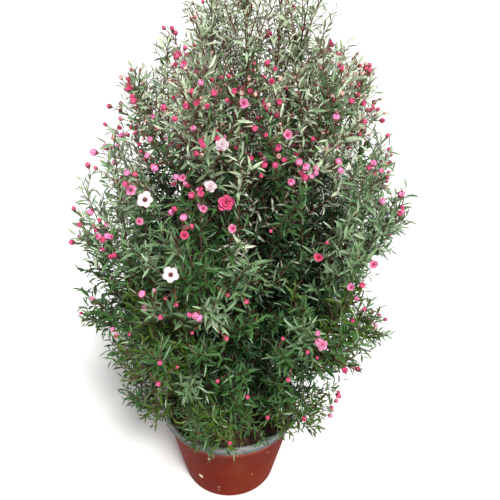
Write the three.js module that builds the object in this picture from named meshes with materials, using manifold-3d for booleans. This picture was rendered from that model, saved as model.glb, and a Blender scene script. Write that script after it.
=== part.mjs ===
// Potted manuka: a bushy flowering shrub on one short trunk, standing in a two-tone plastic pot.
// Millimetres, +Z up. The origin is the centre of the pot's flat underside.

import * as THREE from 'three';
import { mergeVertices } from 'three/addons/utils/BufferGeometryUtils.js';
import Module from 'manifold-3d';

const wasm = await Module();
wasm.setup();
const { Manifold } = wasm;

const { degToRad, lerp } = THREE.MathUtils;
const X_AXIS = new THREE.Vector3(1, 0, 0);
const UP = new THREE.Vector3(0, 0, 1);
const NEARLY_UPRIGHT = 0.9;
const FACE_OF_EIGHT = new THREE.Vector3(1, 1, 1).normalize();
const GOLDEN_ANGLE = Math.PI * (3 - Math.sqrt(5));

// Space left between neighbouring solids
const SEAT_GAP = 0.3;

// Pot: a thin tapering shell with a rolled lip, a moulded step under it and drain holes in the floor
const POT = {
  rimRadius: 85,
  baseRadius: 59,
  height: 108,
  wall: 2,
  floor: 2.5,
  lipHeight: 9,
  lipOverhang: 1.8,
  stepHeight: 6,
  stepDepth: 1,
  edgeRound: 1.5,
  sides: 36,
};
const DRAIN = { count: 6, radius: 5, circle: 41, sides: 8 };

// Potting mix: fills the pot to a little below the rim, with a flat middle for the trunk
const SOIL = { headroom: 13, crownRise: 2, shoulderReach: 0.3, shoulderRise: 1.2, flatRadius: 16, sides: 24 };
const SOIL_TOP = POT.height - SOIL.headroom + SOIL.crownRise;

// Trunk: short, leaning a little towards +X, with a root flare at the soil
const TRUNK = {
  length: 104,
  footRadius: 7.5,
  tipRadius: 3.4,
  flare: 3.6,
  flareLength: 9,
  lean: 7,
  sides: 10,
  steps: 9,
};

// Crown: how far its middle drifts towards +X over its full rise above the rim, and the seeds of its growth
const CROWN = { lean: 28, rise: 470, limbSeed: 4616, leafSeed: 628 };

// The crown's reach: an egg about its leaning middle, rounder below its widest height than above it.
// Shoots stay within it, and the tips of leaves stand a little proud of it.
const REACH = { radius: 164, widest: 235, below: 300, above: 260, curveBelow: 0.5, curveAbove: 0.75, leafTip: 1.1 };

// Tiers of limbs from the top down. Heights count from the rim, attach from the soil.
// Each limb runs from the trunk to its tip: a bare bough first, then a foliage mass from share enter on.
const TIERS = [
  { name: 'top', count: 5, phase: 190, spread: 38, rise: 416, attach: 84, elbow: 13, pitch: 80,
    enter: 0.32, boughRadius: 2.3, shoots: 6, shootLength: 66, budShare: 0.34, bloomShare: 0.03 },
  { name: 'upper', count: 6, phase: 2, spread: 104, rise: 360, attach: 64, elbow: 16, pitch: 58,
    enter: 0.3, boughRadius: 2.4, shoots: 5, shootLength: 72, budShare: 0.4, bloomShare: 0.08 },
  { name: 'middle', count: 7, phase: 12, spread: 146, rise: 252, attach: 42, elbow: 22, pitch: 34,
    enter: 0.28, boughRadius: 2.3, shoots: 5, shootLength: 72, budShare: 0.34, bloomShare: 0.1 },
  { name: 'lower', count: 7, phase: 38, spread: 142, rise: 146, attach: 22, elbow: 24, pitch: -4,
    enter: 0.26, boughRadius: 2.1, shoots: 4, shootLength: 66, budShare: 0.24, bloomShare: 0.03 },
  { name: 'basal', count: 6, phase: 25, spread: 94, rise: 44, attach: 9, elbow: 18, pitch: -8,
    enter: 0, boughRadius: 1.9, shoots: 5, shootLength: 52, budShare: 0.08, bloomShare: 0 },
];
const ATTACH_STEP = 2.4;
const APPROACH_SHARE = 0.36;
const LEADER = { enterRadius: 2, tipRadius: 1.1, sides: 3, steps: 5, firstLeaf: 0.9 };
const BOUGH = { sides: 5, steps: 4 };

// Shoots leave each leader on a golden-angle spiral, and leaves stand on the flat sides of each shoot.
// The leaves are fewer and larger than life, so that the crown stays full.
const SHOOT = {
  first: 0.04,
  lowTilt: 54,
  highTilt: 34,
  lift: 0.22,
  tipShare: 0.5,
  shortest: 14,
  trim: 0.8,
  testedAt: [0.25, 0.5, 0.75, 1],
  baseRadius: 0.9,
  tipRadius: 0.6,
  sides: 3,
};
const LEAF = {
  length: 56,
  width: 19,
  thickness: 1.2,
  widest: 0.42,
  testedAt: [0.42, 0.7, 1],
  shortest: 22,
  trim: 0.85,
  tilt: 50,
  spacing: 13,
  most: 4,
  lowest: 0.2,
  highest: 0.86,
  sink: 0.1,
  tipSink: 0.6,
  apart: 4,
};
const BUD = { radius: 3.7 };
const BLOOM = { petals: 5, lobeRadius: 9.5, notchRadius: 5.6, depth: 5, sink: 0.4, margin: 1 };

// How far each size strays from its rule, as a share of it, and each limb's swing in degrees
const STRAY = { swing: 16, spread: 0.09, rise: 0.05, along: 0.3, length: 0.2 };

// Clearances that keep each mass in its own space
const CLEAR = { cell: 0.7, limb: 2, pot: 4, soil: 2 };

// The smallest facet edge that joining keeps
const FINEST = 0.05;

const FINISH = {
  pot: { color: 0x8a3a28, roughness: 0.55, metalness: 0 },
  soil: { color: 0x2e2019, roughness: 0.95, metalness: 0 },
  bark: { color: 0x5a4234, roughness: 0.9, metalness: 0 },
  foliage: { color: 0x56703f, roughness: 0.6, metalness: 0 },
};

// Random numbers that repeat from a seed
const TWO_TO_32 = 2 ** 32;

function seeded(seed) {
  let state = seed >>> 0;
  return () => {
    state = (state + 0x6d2b79f5) >>> 0;
    let t = Math.imul(state ^ (state >>> 15), state | 1);
    t ^= t + Math.imul(t ^ (t >>> 7), t | 61);
    return ((t ^ (t >>> 14)) >>> 0) / TWO_TO_32;
  };
}

function seededFrom(random) {
  return seeded(Math.floor(random() * TWO_TO_32));
}

// A number between -reach and reach
function stray(random, reach) {
  return reach * (2 * random() - 1);
}

// A closed geometry as a solid that can be joined and cut
function toSolid(geometry) {
  const bare = geometry.clone();
  bare.deleteAttribute('normal');
  bare.deleteAttribute('uv');
  const merged = mergeVertices(bare);
  const corners = merged.index.array;
  const triVerts = [];
  for (let i = 0; i < corners.length; i += 3) {
    const [a, b, c] = corners.slice(i, i + 3);
    if (a !== b && b !== c && c !== a) triVerts.push(a, b, c);
  }
  return new Manifold(new wasm.Mesh({
    numProp: 3,
    vertProperties: new Float32Array(merged.attributes.position.array),
    triVerts: new Uint32Array(triVerts),
  }));
}

function toGeometry(solid) {
  const mesh = solid.getMesh();
  const geometry = new THREE.BufferGeometry();
  geometry.setAttribute('position', new THREE.BufferAttribute(new Float32Array(mesh.vertProperties), 3));
  geometry.setIndex(new THREE.BufferAttribute(new Uint32Array(mesh.triVerts), 1));
  geometry.computeVertexNormals();
  return geometry;
}

// The largest body of a union, without loose scraps or sealed hollows
function fuse(geometries) {
  const joined = Manifold.union(geometries.map(toSolid)).simplify(FINEST);
  return joined.decompose().reduce((best, body) => (body.volume() > best.volume() ? body : best));
}

// A profile of [radius, height] pairs turned about Z
function turned(profile, sides) {
  const points = profile.map(([radius, height]) => new THREE.Vector2(radius, height));
  return new THREE.LatheGeometry(points, sides).rotateX(Math.PI / 2);
}

// A stretch of a curve, from share start to share end
class Stretch extends THREE.Curve {
  constructor(curve, start, end) {
    super();
    this.curve = curve;
    this.start = start;
    this.end = end;
  }

  getPoint(t, target = new THREE.Vector3()) {
    return this.curve.getPoint(lerp(this.start, this.end, t), target);
  }
}

// A round limb along a curve, with its radius given by a function of the share along it
function limbGeometry(curve, radiusAt, sides, steps) {
  const limb = new THREE.CylinderGeometry(1, 1, 1, sides, steps);
  const frames = curve.computeFrenetFrames(steps);
  const corners = limb.attributes.position;
  for (let i = 0; i < corners.count; i++) {
    const step = Math.round((corners.getY(i) + 0.5) * steps);
    const radius = radiusAt(step / steps);
    const corner = curve.getPointAt(step / steps)
      .addScaledVector(frames.binormals[step], corners.getX(i) * radius)
      .addScaledVector(frames.normals[step], corners.getZ(i) * radius);
    corners.setXYZ(i, corner.x, corner.y, corner.z);
  }
  return limb;
}

// The direction that leans from an axis by a tilt, towards an angle about it
function leaning(axis, tilt, angle) {
  const helper = Math.abs(axis.z) > NEARLY_UPRIGHT ? X_AXIS : UP;
  const across = new THREE.Vector3().crossVectors(axis, helper).normalize();
  const beside = new THREE.Vector3().crossVectors(axis, across);
  return axis.clone().multiplyScalar(Math.cos(tilt))
    .addScaledVector(across, Math.sin(tilt) * Math.cos(angle))
    .addScaledVector(beside, Math.sin(tilt) * Math.sin(angle));
}

function lineLength(line) {
  return line.slice(1).reduce((sum, point, index) => sum + point.distanceTo(line[index]), 0);
}

// The place and heading at a share of the way along a line of even steps
function placeOn(line, share) {
  const steps = line.length - 1;
  const step = Math.min(Math.floor(share * steps), steps - 1);
  const point = line[step].clone().lerp(line[step + 1], share * steps - step);
  const heading = line[step + 1].clone().sub(line[step]).normalize();
  return { point, heading };
}

// Pot

function potWallRadius(height) {
  const wallTop = POT.rimRadius - POT.lipOverhang;
  return lerp(POT.baseRadius, wallTop, height / POT.height);
}

function potGeometry() {
  const { height, wall, floor, edgeRound, rimRadius } = POT;
  const lipFoot = height - POT.lipHeight;
  const stepFoot = lipFoot - POT.stepHeight;
  const inside = (z) => potWallRadius(z) - wall;
  const shell = turned([
    [0, 0],
    [POT.baseRadius - edgeRound, 0],
    [potWallRadius(edgeRound), edgeRound],
    [potWallRadius(stepFoot), stepFoot],
    [potWallRadius(stepFoot) + POT.stepDepth, stepFoot + POT.stepDepth],
    [potWallRadius(lipFoot) + POT.stepDepth, lipFoot],
    [rimRadius, lipFoot],
    [rimRadius, height - edgeRound],
    [rimRadius - edgeRound, height],
    [inside(height) + edgeRound, height],
    [inside(height), height - edgeRound],
    [inside(floor), floor],
    [0, floor],
  ], POT.sides);
  const drill = new THREE.CylinderGeometry(DRAIN.radius, DRAIN.radius, 3 * floor, DRAIN.sides)
    .rotateX(Math.PI / 2);
  let solid = toSolid(shell);
  for (let k = 0; k < DRAIN.count; k++) {
    const angle = (2 * Math.PI * k) / DRAIN.count;
    const hole = drill.clone().translate(DRAIN.circle * Math.cos(angle), DRAIN.circle * Math.sin(angle), 0);
    solid = solid.subtract(toSolid(hole));
  }
  return toGeometry(solid);
}

// Potting mix

function soilGeometry() {
  const bottom = POT.floor + SEAT_GAP;
  const edge = POT.height - SOIL.headroom;
  const fit = (z) => potWallRadius(z) - POT.wall - SEAT_GAP;
  return turned([
    [0, bottom],
    [fit(bottom), bottom],
    [fit(edge), edge],
    [lerp(fit(edge), SOIL.flatRadius, SOIL.shoulderReach), edge + SOIL.shoulderRise],
    [SOIL.flatRadius, SOIL_TOP],
    [0, SOIL_TOP],
  ], SOIL.sides);
}

// Trunk

const TRUNK_FOOT = SOIL_TOP + SEAT_GAP;
const trunkCurve = new THREE.QuadraticBezierCurve3(
  new THREE.Vector3(0, 0, TRUNK_FOOT),
  new THREE.Vector3(0, 0, TRUNK_FOOT + TRUNK.length / 2),
  new THREE.Vector3(TRUNK.lean, 0, TRUNK_FOOT + TRUNK.length),
);

function trunkRadius(share) {
  const flare = TRUNK.flare * Math.exp((-share * TRUNK.length) / TRUNK.flareLength);
  return lerp(TRUNK.footRadius, TRUNK.tipRadius, share) + flare;
}

// Limbs

// The whole run of one limb, from beside the trunk to its tip
function limbCurve(tier, index, random) {
  const swing = stray(random, STRAY.swing);
  const spread = tier.spread * (1 + stray(random, STRAY.spread));
  const rise = tier.rise * (1 + stray(random, STRAY.rise));
  const angle = degToRad(tier.phase + (360 * index) / tier.count + swing);
  const outward = new THREE.Vector3(Math.cos(angle), Math.sin(angle), 0);
  const tip = new THREE.Vector3((CROWN.lean * rise) / CROWN.rise, 0, POT.height + rise)
    .addScaledVector(outward, spread);
  const upperHalf = (index % 2) * (tier.count / 2);
  const height = tier.attach + ATTACH_STEP * (Math.floor(index / 2) + upperHalf);
  const lowerEdge = (height - tier.boughRadius) / TRUNK.length;
  const start = trunkCurve.getPoint(height / TRUNK.length)
    .addScaledVector(outward, trunkRadius(lowerEdge) + SEAT_GAP);
  const elbow = start.clone().addScaledVector(outward, tier.elbow);
  const pitch = degToRad(tier.pitch);
  const heading = outward.clone().multiplyScalar(Math.cos(pitch)).addScaledVector(UP, Math.sin(pitch));
  const approach = tip.clone().addScaledVector(heading, -APPROACH_SHARE * start.distanceTo(tip));
  return new THREE.CubicBezierCurve3(start, elbow, approach, tip);
}

// Every limb with its curve, and the sampled lines that other pieces keep clear of
function planLimbs() {
  const random = seeded(CROWN.limbSeed);
  const limbs = [];
  for (const tier of TIERS) {
    for (let index = 0; index < tier.count; index++) {
      const curve = limbCurve(tier, index, random);
      const gap = SEAT_GAP / curve.getLength();
      const boughEnd = Math.max(0, tier.enter - gap);
      limbs.push({
        tier,
        name: `${tier.name}_${index + 1}`,
        leader: new Stretch(curve, tier.enter, 1),
        bough: tier.enter > 0 ? new Stretch(curve, 0, boughEnd) : null,
      });
    }
  }
  for (const limb of limbs) {
    limb.leaderLine = limb.leader.getSpacedPoints(LEADER.steps);
    limb.boughLine = limb.bough ? limb.bough.getSpacedPoints(BOUGH.steps) : [];
  }
  return limbs;
}

function leaderRadius(limb, share) {
  const enterRadius = Math.min(LEADER.enterRadius, limb.tier.boughRadius);
  return lerp(enterRadius, LEADER.tipRadius, share);
}

function boughGeometry(limb) {
  const radiusAt = (share) => lerp(limb.tier.boughRadius, LEADER.enterRadius, share);
  return limbGeometry(limb.bough, radiusAt, BOUGH.sides, BOUGH.steps);
}

// Space: each mass owns the points that lie nearest to its own leader, clear of limbs, pot and soil

function distanceToLine(point, line) {
  let nearest = Infinity;
  const onLine = new THREE.Vector3();
  for (let i = 1; i < line.length; i++) {
    new THREE.Line3(line[i - 1], line[i]).closestPointToPoint(point, true, onLine);
    nearest = Math.min(nearest, onLine.distanceTo(point));
  }
  return nearest;
}

function clearOfPot(point) {
  const radius = Math.hypot(point.x, point.y);
  const overRim = point.z > POT.height + CLEAR.pot;
  const beside = radius > POT.rimRadius + CLEAR.pot;
  const within = radius < potWallRadius(point.z) - POT.wall - CLEAR.pot && point.z > SOIL_TOP + CLEAR.soil;
  return overRim || beside || within;
}

// Whether a point lies within a share of the crown's reach
function withinReach(point, share) {
  const height = point.z - POT.height;
  const upper = height > REACH.widest;
  const offset = (height - REACH.widest) / (upper ? REACH.above : REACH.below);
  const curve = upper ? REACH.curveAbove : REACH.curveBelow;
  const radius = REACH.radius * Math.max(0, 1 - offset ** 2) ** curve;
  const middle = (CROWN.lean * height) / CROWN.rise;
  return Math.hypot(point.x - middle, point.y) < share * radius;
}

function ownsPoint(limb, point) {
  if (!clearOfPot(point)) return false;
  const own = distanceToLine(point, limb.leaderLine) + CLEAR.cell;
  return limbs.every((other) => {
    const boughRadius = other.tier.boughRadius + CLEAR.limb;
    if (distanceToLine(point, other.boughLine) < boughRadius) return false;
    return other === limb || distanceToLine(point, other.leaderLine) > own;
  }) && distanceToLine(point, trunkLine) > TRUNK.footRadius + TRUNK.flare + CLEAR.limb;
}

function ownsAll(limb, points) {
  return points.every((point) => ownsPoint(limb, point));
}

// Foliage

// A leaf's own axes: along its blade, across it and out of its face
function leafAxes(heading, twig) {
  const side = new THREE.Vector3().crossVectors(twig, heading).normalize();
  const face = new THREE.Vector3().crossVectors(heading, side);
  return [heading, side, face];
}

// A leaf of eight faces: root, tip, two edges and two cheeks, with its root sunk in its twig
function leafGeometry({ root, heading, twig, length }) {
  const blade = new THREE.OctahedronGeometry(1).scale(length / 2, LEAF.width / 2, LEAF.thickness / 2);
  const corners = blade.attributes.position;
  const waist = (LEAF.widest - 0.5) * length;
  for (let i = 0; i < corners.count; i++) {
    const atEnd = Math.abs(corners.getX(i)) > length / 4;
    if (!atEnd) corners.setX(i, waist);
  }
  const middle = root.clone().addScaledVector(heading, length / 2 - LEAF.sink);
  const place = new THREE.Matrix4().makeBasis(...leafAxes(heading, twig)).setPosition(middle);
  return blade.applyMatrix4(place);
}

// The points of a leaf that stay in its mass's space: along its spine, then its two edges
function leafReach({ root, heading, twig, length }) {
  const [, side] = leafAxes(heading, twig);
  const at = (share, edge) => root.clone()
    .addScaledVector(heading, share * length)
    .addScaledVector(side, edge * LEAF.width);
  const spine = LEAF.testedAt.map((share) => at(share, 0));
  const edges = [-0.5, 0.5].map((edge) => at(LEAF.widest, edge));
  return [...spine, ...edges];
}

// Whether points keep clear of every line that a mass has placed, apart from their own twig's
function keepsApart(points, lines, ownLine) {
  return lines.every((line) => line === ownLine
    || points.every((point) => distanceToLine(point, line) > LEAF.apart));
}

// A leaf's length, cut short where its tip would leave the crown's reach, or 0
function lengthInReach({ root, heading, length }) {
  let room = length;
  while (room > LEAF.shortest) {
    if (withinReach(root.clone().addScaledVector(heading, room), REACH.leafTip)) return room;
    room *= LEAF.trim;
  }
  return 0;
}

// A leaf where there is room for it: its line is noted, so that later leaves keep apart from it
function leafIfRoom(limb, plan, lines, ownLine) {
  const leaf = { ...plan, length: lengthInReach(plan) };
  const reach = leafReach(leaf);
  if (!leaf.length || !ownsAll(limb, reach) || !keepsApart(reach, lines, ownLine)) return null;
  lines.push([leaf.root, leaf.root.clone().addScaledVector(leaf.heading, leaf.length)]);
  return leafGeometry(leaf);
}

// A twig's line and frames, and the share from which it bears leaves
function twigAlong(curve, sides, steps, firstLeaf) {
  return { line: curve.getSpacedPoints(steps), frames: curve.computeFrenetFrames(steps), sides, firstLeaf };
}

// The heading of a leaf that stands on the middle of one flat side of its twig
function headingFromSide(twig, axis, side) {
  const angle = (2 * Math.PI * (side + 0.5)) / twig.sides;
  const outward = twig.frames.binormals.at(-1).clone().multiplyScalar(Math.sin(angle))
    .addScaledVector(twig.frames.normals.at(-1), Math.cos(angle));
  const tilt = degToRad(LEAF.tilt);
  return axis.clone().multiplyScalar(Math.cos(tilt)).addScaledVector(outward, Math.sin(tilt)).normalize();
}

// Leaves up one twig, side after side, each moved on to the next side until there is room
function leavesAlong(limb, twig, lines, random) {
  const run = (1 - twig.firstLeaf) * lineLength(twig.line);
  const count = Math.min(LEAF.most, Math.ceil(run / LEAF.spacing));
  const firstSide = Math.floor(twig.sides * random());
  const leaves = [];
  for (let j = 0; j < count; j++) {
    const share = lerp(LEAF.highest, twig.firstLeaf, j / count);
    const { point, heading } = placeOn(twig.line, share);
    const length = LEAF.length * (1 + stray(random, STRAY.length));
    for (let turn = 0; turn < twig.sides; turn++) {
      const outward = headingFromSide(twig, heading, firstSide + j + turn);
      const plan = { root: point, heading: outward, twig: heading, length };
      const leaf = leafIfRoom(limb, plan, lines, twig.line);
      if (leaf) {
        leaves.push(leaf);
        break;
      }
    }
  }
  return leaves;
}

function turnedTo(geometry, from, heading, place) {
  return geometry.applyQuaternion(new THREE.Quaternion().setFromUnitVectors(from, heading))
    .translate(place.x, place.y, place.z);
}

// A bud: eight faces, with one of them square on the shoot's tip
function budGeometry(tip, heading) {
  return turnedTo(new THREE.OctahedronGeometry(BUD.radius), FACE_OF_EIGHT, heading, tip);
}

// An open flower: a shallow cup on the shoot's tip, with its rim cut into lobes
function bloomGeometry(tip, heading) {
  const cup = new THREE.ConeGeometry(1, BLOOM.depth, 2 * BLOOM.petals).rotateX(-Math.PI / 2);
  const corners = cup.attributes.position;
  for (let i = 0; i < corners.count; i++) {
    const angle = Math.atan2(corners.getY(i), corners.getX(i));
    const onAxis = Math.hypot(corners.getX(i), corners.getY(i)) < 0.5;
    const lobe = Math.round((angle * BLOOM.petals) / Math.PI) % 2 === 0;
    const rimRadius = lobe ? BLOOM.lobeRadius : BLOOM.notchRadius;
    const radius = onAxis ? 0 : rimRadius;
    corners.setXY(i, radius * Math.cos(angle), radius * Math.sin(angle));
  }
  const middle = tip.clone().addScaledVector(heading, BLOOM.depth / 2 - BLOOM.sink);
  return turnedTo(cup, UP, heading, middle);
}

// The points of a bud or an open flower that stay in its mass's space
function bloomReach(tip, heading, rise, radius) {
  const middle = tip.clone().addScaledVector(heading, rise);
  const reach = [middle];
  for (let k = 0; k < BLOOM.petals; k++) {
    const outward = leaning(heading, Math.PI / 2, (2 * Math.PI * k) / BLOOM.petals);
    reach.push(middle.clone().addScaledVector(outward, radius + BLOOM.margin));
  }
  return reach;
}

// What a twig ends in: an open flower, a bud or a last leaf, where there is room
function twigEnd(limb, twig, lines, random) {
  const ending = random();
  const { point: tip, heading } = placeOn(twig.line, 1);
  const { bloomShare, budShare } = limb.tier;
  const fits = (rise, radius) => {
    const reach = bloomReach(tip, heading, rise, radius);
    return ownsAll(limb, reach) && keepsApart(reach, lines, twig.line);
  };
  if (ending < bloomShare && fits(BLOOM.depth, BLOOM.lobeRadius)) return [bloomGeometry(tip, heading)];
  if (ending < bloomShare + budShare && fits(BUD.radius, BUD.radius)) return [budGeometry(tip, heading)];
  const root = tip.clone().addScaledVector(heading, -LEAF.tipSink);
  const across = twig.frames.normals.at(-1);
  const leaf = leafIfRoom(limb, { root, heading, twig: across, length: LEAF.length }, lines, twig.line);
  return leaf ? [leaf] : [];
}

// The longest run of a shoot that stays in the mass's space and the crown's reach, or 0
function roomFor(limb, root, heading, length) {
  let room = length;
  while (room > SHOOT.shortest) {
    const reach = SHOOT.testedAt.map((share) => root.clone().addScaledVector(heading, share * room));
    if (withinReach(reach.at(-1), 1) && ownsAll(limb, reach)) return room;
    room *= SHOOT.trim;
  }
  return 0;
}

// The shoots of a mass, straight runs that branch from its leader
function shootCurves(limb, random) {
  const { tier, leaderLine } = limb;
  const phase = 2 * Math.PI * random();
  const shoots = [];
  for (let k = 0; k < tier.shoots; k++) {
    const along = lerp(SHOOT.first, 1, (k + 0.5 + stray(random, STRAY.along)) / tier.shoots);
    const tilt = degToRad(lerp(SHOOT.lowTilt, SHOOT.highTilt, along));
    const length = tier.shootLength * lerp(1, SHOOT.tipShare, along) * (1 + stray(random, STRAY.length));
    const { point: root, heading: axis } = placeOn(leaderLine, along);
    const heading = leaning(axis, tilt, phase + k * GOLDEN_ANGLE).addScaledVector(UP, SHOOT.lift).normalize();
    const room = roomFor(limb, root, heading, length);
    if (room) shoots.push(new THREE.LineCurve3(root, root.clone().addScaledVector(heading, room)));
  }
  return shoots;
}

// A foliage mass: its leader, the shoots that branch from it and all that they carry
function massGeometry(limb, random) {
  const { leader } = limb;
  const shoots = shootCurves(limb, random);
  const shootRadius = (share) => lerp(SHOOT.baseRadius, SHOOT.tipRadius, share);
  const pieces = [
    limbGeometry(leader, (share) => leaderRadius(limb, share), LEADER.sides, LEADER.steps),
    ...shoots.map((shoot) => limbGeometry(shoot, shootRadius, SHOOT.sides, 1)),
  ];
  const twigs = [
    twigAlong(leader, LEADER.sides, LEADER.steps, LEADER.firstLeaf),
    ...shoots.map((shoot) => twigAlong(shoot, SHOOT.sides, 1, LEAF.lowest)),
  ];
  const lines = twigs.map((twig) => twig.line);
  for (const twig of twigs) {
    const twigRandom = seededFrom(random);
    pieces.push(...twigEnd(limb, twig, lines, twigRandom));
    pieces.push(...leavesAlong(limb, twig, lines, twigRandom));
  }
  return toGeometry(fuse(pieces));
}

// Assembly

const potted = new THREE.Group();

function addPiece(name, geometry, finish) {
  const material = new THREE.MeshStandardMaterial({ ...finish, flatShading: true });
  const mesh = new THREE.Mesh(geometry, material);
  mesh.name = name;
  potted.add(mesh);
}

const trunkLine = trunkCurve.getSpacedPoints(TRUNK.steps);
const limbs = planLimbs();

addPiece('pot', potGeometry(), FINISH.pot);
addPiece('potting_mix', soilGeometry(), FINISH.soil);
addPiece('trunk', limbGeometry(trunkCurve, trunkRadius, TRUNK.sides, TRUNK.steps), FINISH.bark);
limbs.forEach((limb, index) => {
  if (limb.bough) addPiece(`bough_${limb.name}`, boughGeometry(limb), FINISH.bark);
  addPiece(`foliage_${limb.name}`, massGeometry(limb, seeded(CROWN.leafSeed + index)), FINISH.foliage);
});

export default potted;
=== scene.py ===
"""Looks of a potted manuka: a flowering shrub in a squat two-tone plastic pot.

Everything is in metres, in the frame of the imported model: +Z up, the origin at the centre of the pot's
underside, the photographed side towards -Y. Pixels count from the photograph's top left corner.
"""

import logging
import math
from dataclasses import dataclass, field
from enum import Enum
from typing import Iterable, Sequence

import bmesh
import bpy
import numpy as np
from mathutils import Matrix, Vector, noise


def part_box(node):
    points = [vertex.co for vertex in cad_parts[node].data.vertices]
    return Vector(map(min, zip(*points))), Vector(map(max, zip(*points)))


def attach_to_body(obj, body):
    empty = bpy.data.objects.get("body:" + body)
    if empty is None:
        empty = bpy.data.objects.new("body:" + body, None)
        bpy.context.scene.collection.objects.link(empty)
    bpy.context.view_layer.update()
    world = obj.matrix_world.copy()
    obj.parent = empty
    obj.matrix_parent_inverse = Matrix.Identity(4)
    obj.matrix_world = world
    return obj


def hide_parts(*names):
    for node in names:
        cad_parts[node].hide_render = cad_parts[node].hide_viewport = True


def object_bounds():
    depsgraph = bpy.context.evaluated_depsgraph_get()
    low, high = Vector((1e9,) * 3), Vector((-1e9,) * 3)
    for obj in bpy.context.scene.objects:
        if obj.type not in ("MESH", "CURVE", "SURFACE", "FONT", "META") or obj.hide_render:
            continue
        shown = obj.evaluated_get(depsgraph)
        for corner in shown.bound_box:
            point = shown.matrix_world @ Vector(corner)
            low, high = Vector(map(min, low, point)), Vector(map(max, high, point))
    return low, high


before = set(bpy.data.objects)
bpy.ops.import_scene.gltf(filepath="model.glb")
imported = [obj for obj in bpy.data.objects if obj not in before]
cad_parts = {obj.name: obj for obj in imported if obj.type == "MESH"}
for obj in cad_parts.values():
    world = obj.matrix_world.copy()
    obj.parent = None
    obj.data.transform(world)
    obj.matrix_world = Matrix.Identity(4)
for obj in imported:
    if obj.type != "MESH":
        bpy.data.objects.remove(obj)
CAD_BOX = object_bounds()
LOG = logging.getLogger("potted_manuka")

MM = 0.001
SEAT_GAP = 0.3 * MM
FULL_TURN = 2 * math.pi
QUARTER_TURN = math.pi / 2
GOLDEN_ANGLE = math.pi * (3 - math.sqrt(5))
UP = np.array([0.0, 0.0, 1.0])
X_AXIS = np.array([1.0, 0.0, 0.0])
LEVEL = np.array([1.0, 1.0, 0.0])
NEARLY_UPRIGHT = 0.9
WELD = 1e-6
TINY = 1e-12
WORD = 0xFFFFFFFF
STRIDE = 0x6D2B79F5
Pair = tuple[float, float]
Triple = tuple[float, float, float]
Colour = tuple[float, float, float, float]
Socket = bpy.types.NodeSocket
Material = bpy.types.Material


# Numbers and directions


class Seeded:
    """Random numbers that repeat from a seed, in the same row as the part's own."""

    def __init__(self, seed: int) -> None:
        """Starts the row at a whole number."""
        self.state = seed & WORD

    def next(self) -> float:
        """The next number of the row.

        Returns:
            A number from 0 up to 1.
        """
        self.state = (self.state + STRIDE) & WORD
        mixed = ((self.state ^ (self.state >> 15)) * (self.state | 1)) & WORD
        mixed ^= (mixed + (((mixed ^ (mixed >> 7)) * (mixed | 61)) & WORD)) & WORD
        return (mixed ^ (mixed >> 14)) / (WORD + 1)

    def stray(self, reach: float) -> float:
        """A number between -reach and reach."""
        return reach * (2 * self.next() - 1)


def srgb(red: int, green: int, blue: int) -> Colour:
    """A display colour as the linear colour that shaders use.

    Args:
        red: red share, from 0 to 255.
        green: green share.
        blue: blue share.

    Returns:
        Linear red, green, blue and an alpha of 1.
    """
    linear = []
    for share in (red / 255, green / 255, blue / 255):
        low = share <= 0.04045
        linear.append(share / 12.92 if low else ((share + 0.055) / 1.055) ** 2.4)
    return (linear[0], linear[1], linear[2], 1.0)


def lerp(start: float, end: float, share: float) -> float:
    """The value a share of the way from start to end."""
    return start + (end - start) * share


def unit(vectors: np.ndarray) -> np.ndarray:
    """Vectors, along the last axis, scaled to a length of 1."""
    return vectors / np.maximum(np.linalg.norm(vectors, axis=-1, keepdims=True), TINY)


def blended(weights: Sequence[float], *directions: np.ndarray) -> np.ndarray:
    """The unit direction between several, by their weights."""
    return unit(sum(direction * weight for direction, weight in zip(directions, weights)))


def beside(axes: np.ndarray, upright: np.ndarray) -> tuple[np.ndarray, np.ndarray]:
    """Two directions square to axes and to each other.

    Args:
        axes: unit axes, along the last axis of the array.
        upright: the height parts that tell which axes are nearly upright.

    Returns:
        Both directions for each axis.
    """
    helper = np.where(np.abs(upright) > NEARLY_UPRIGHT, X_AXIS, UP)
    across = unit(np.cross(axes, helper))
    return across, np.cross(axes, across)


def leaning(axes: np.ndarray, tilt: np.ndarray, angle: np.ndarray) -> np.ndarray:
    """Directions that lean from axes by a tilt, towards an angle about them.

    Args:
        axes: unit axes, one a row.
        tilt: lean of each, in radians.
        angle: turn of each about its axis, in radians.

    Returns:
        Unit directions, one a row.
    """
    across, along = beside(axes, axes[:, 2:3])
    outward = across * np.cos(angle)[:, None] + along * np.sin(angle)[:, None]
    return axes * np.cos(tilt)[:, None] + outward * np.sin(tilt)[:, None]


def triads(along: np.ndarray, side: np.ndarray) -> np.ndarray:
    """Own X, Y and Z directions of shapes, as rows, from their X and their Y."""
    return np.stack([along, side, np.cross(along, side)], axis=1)


# Meshes


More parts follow.
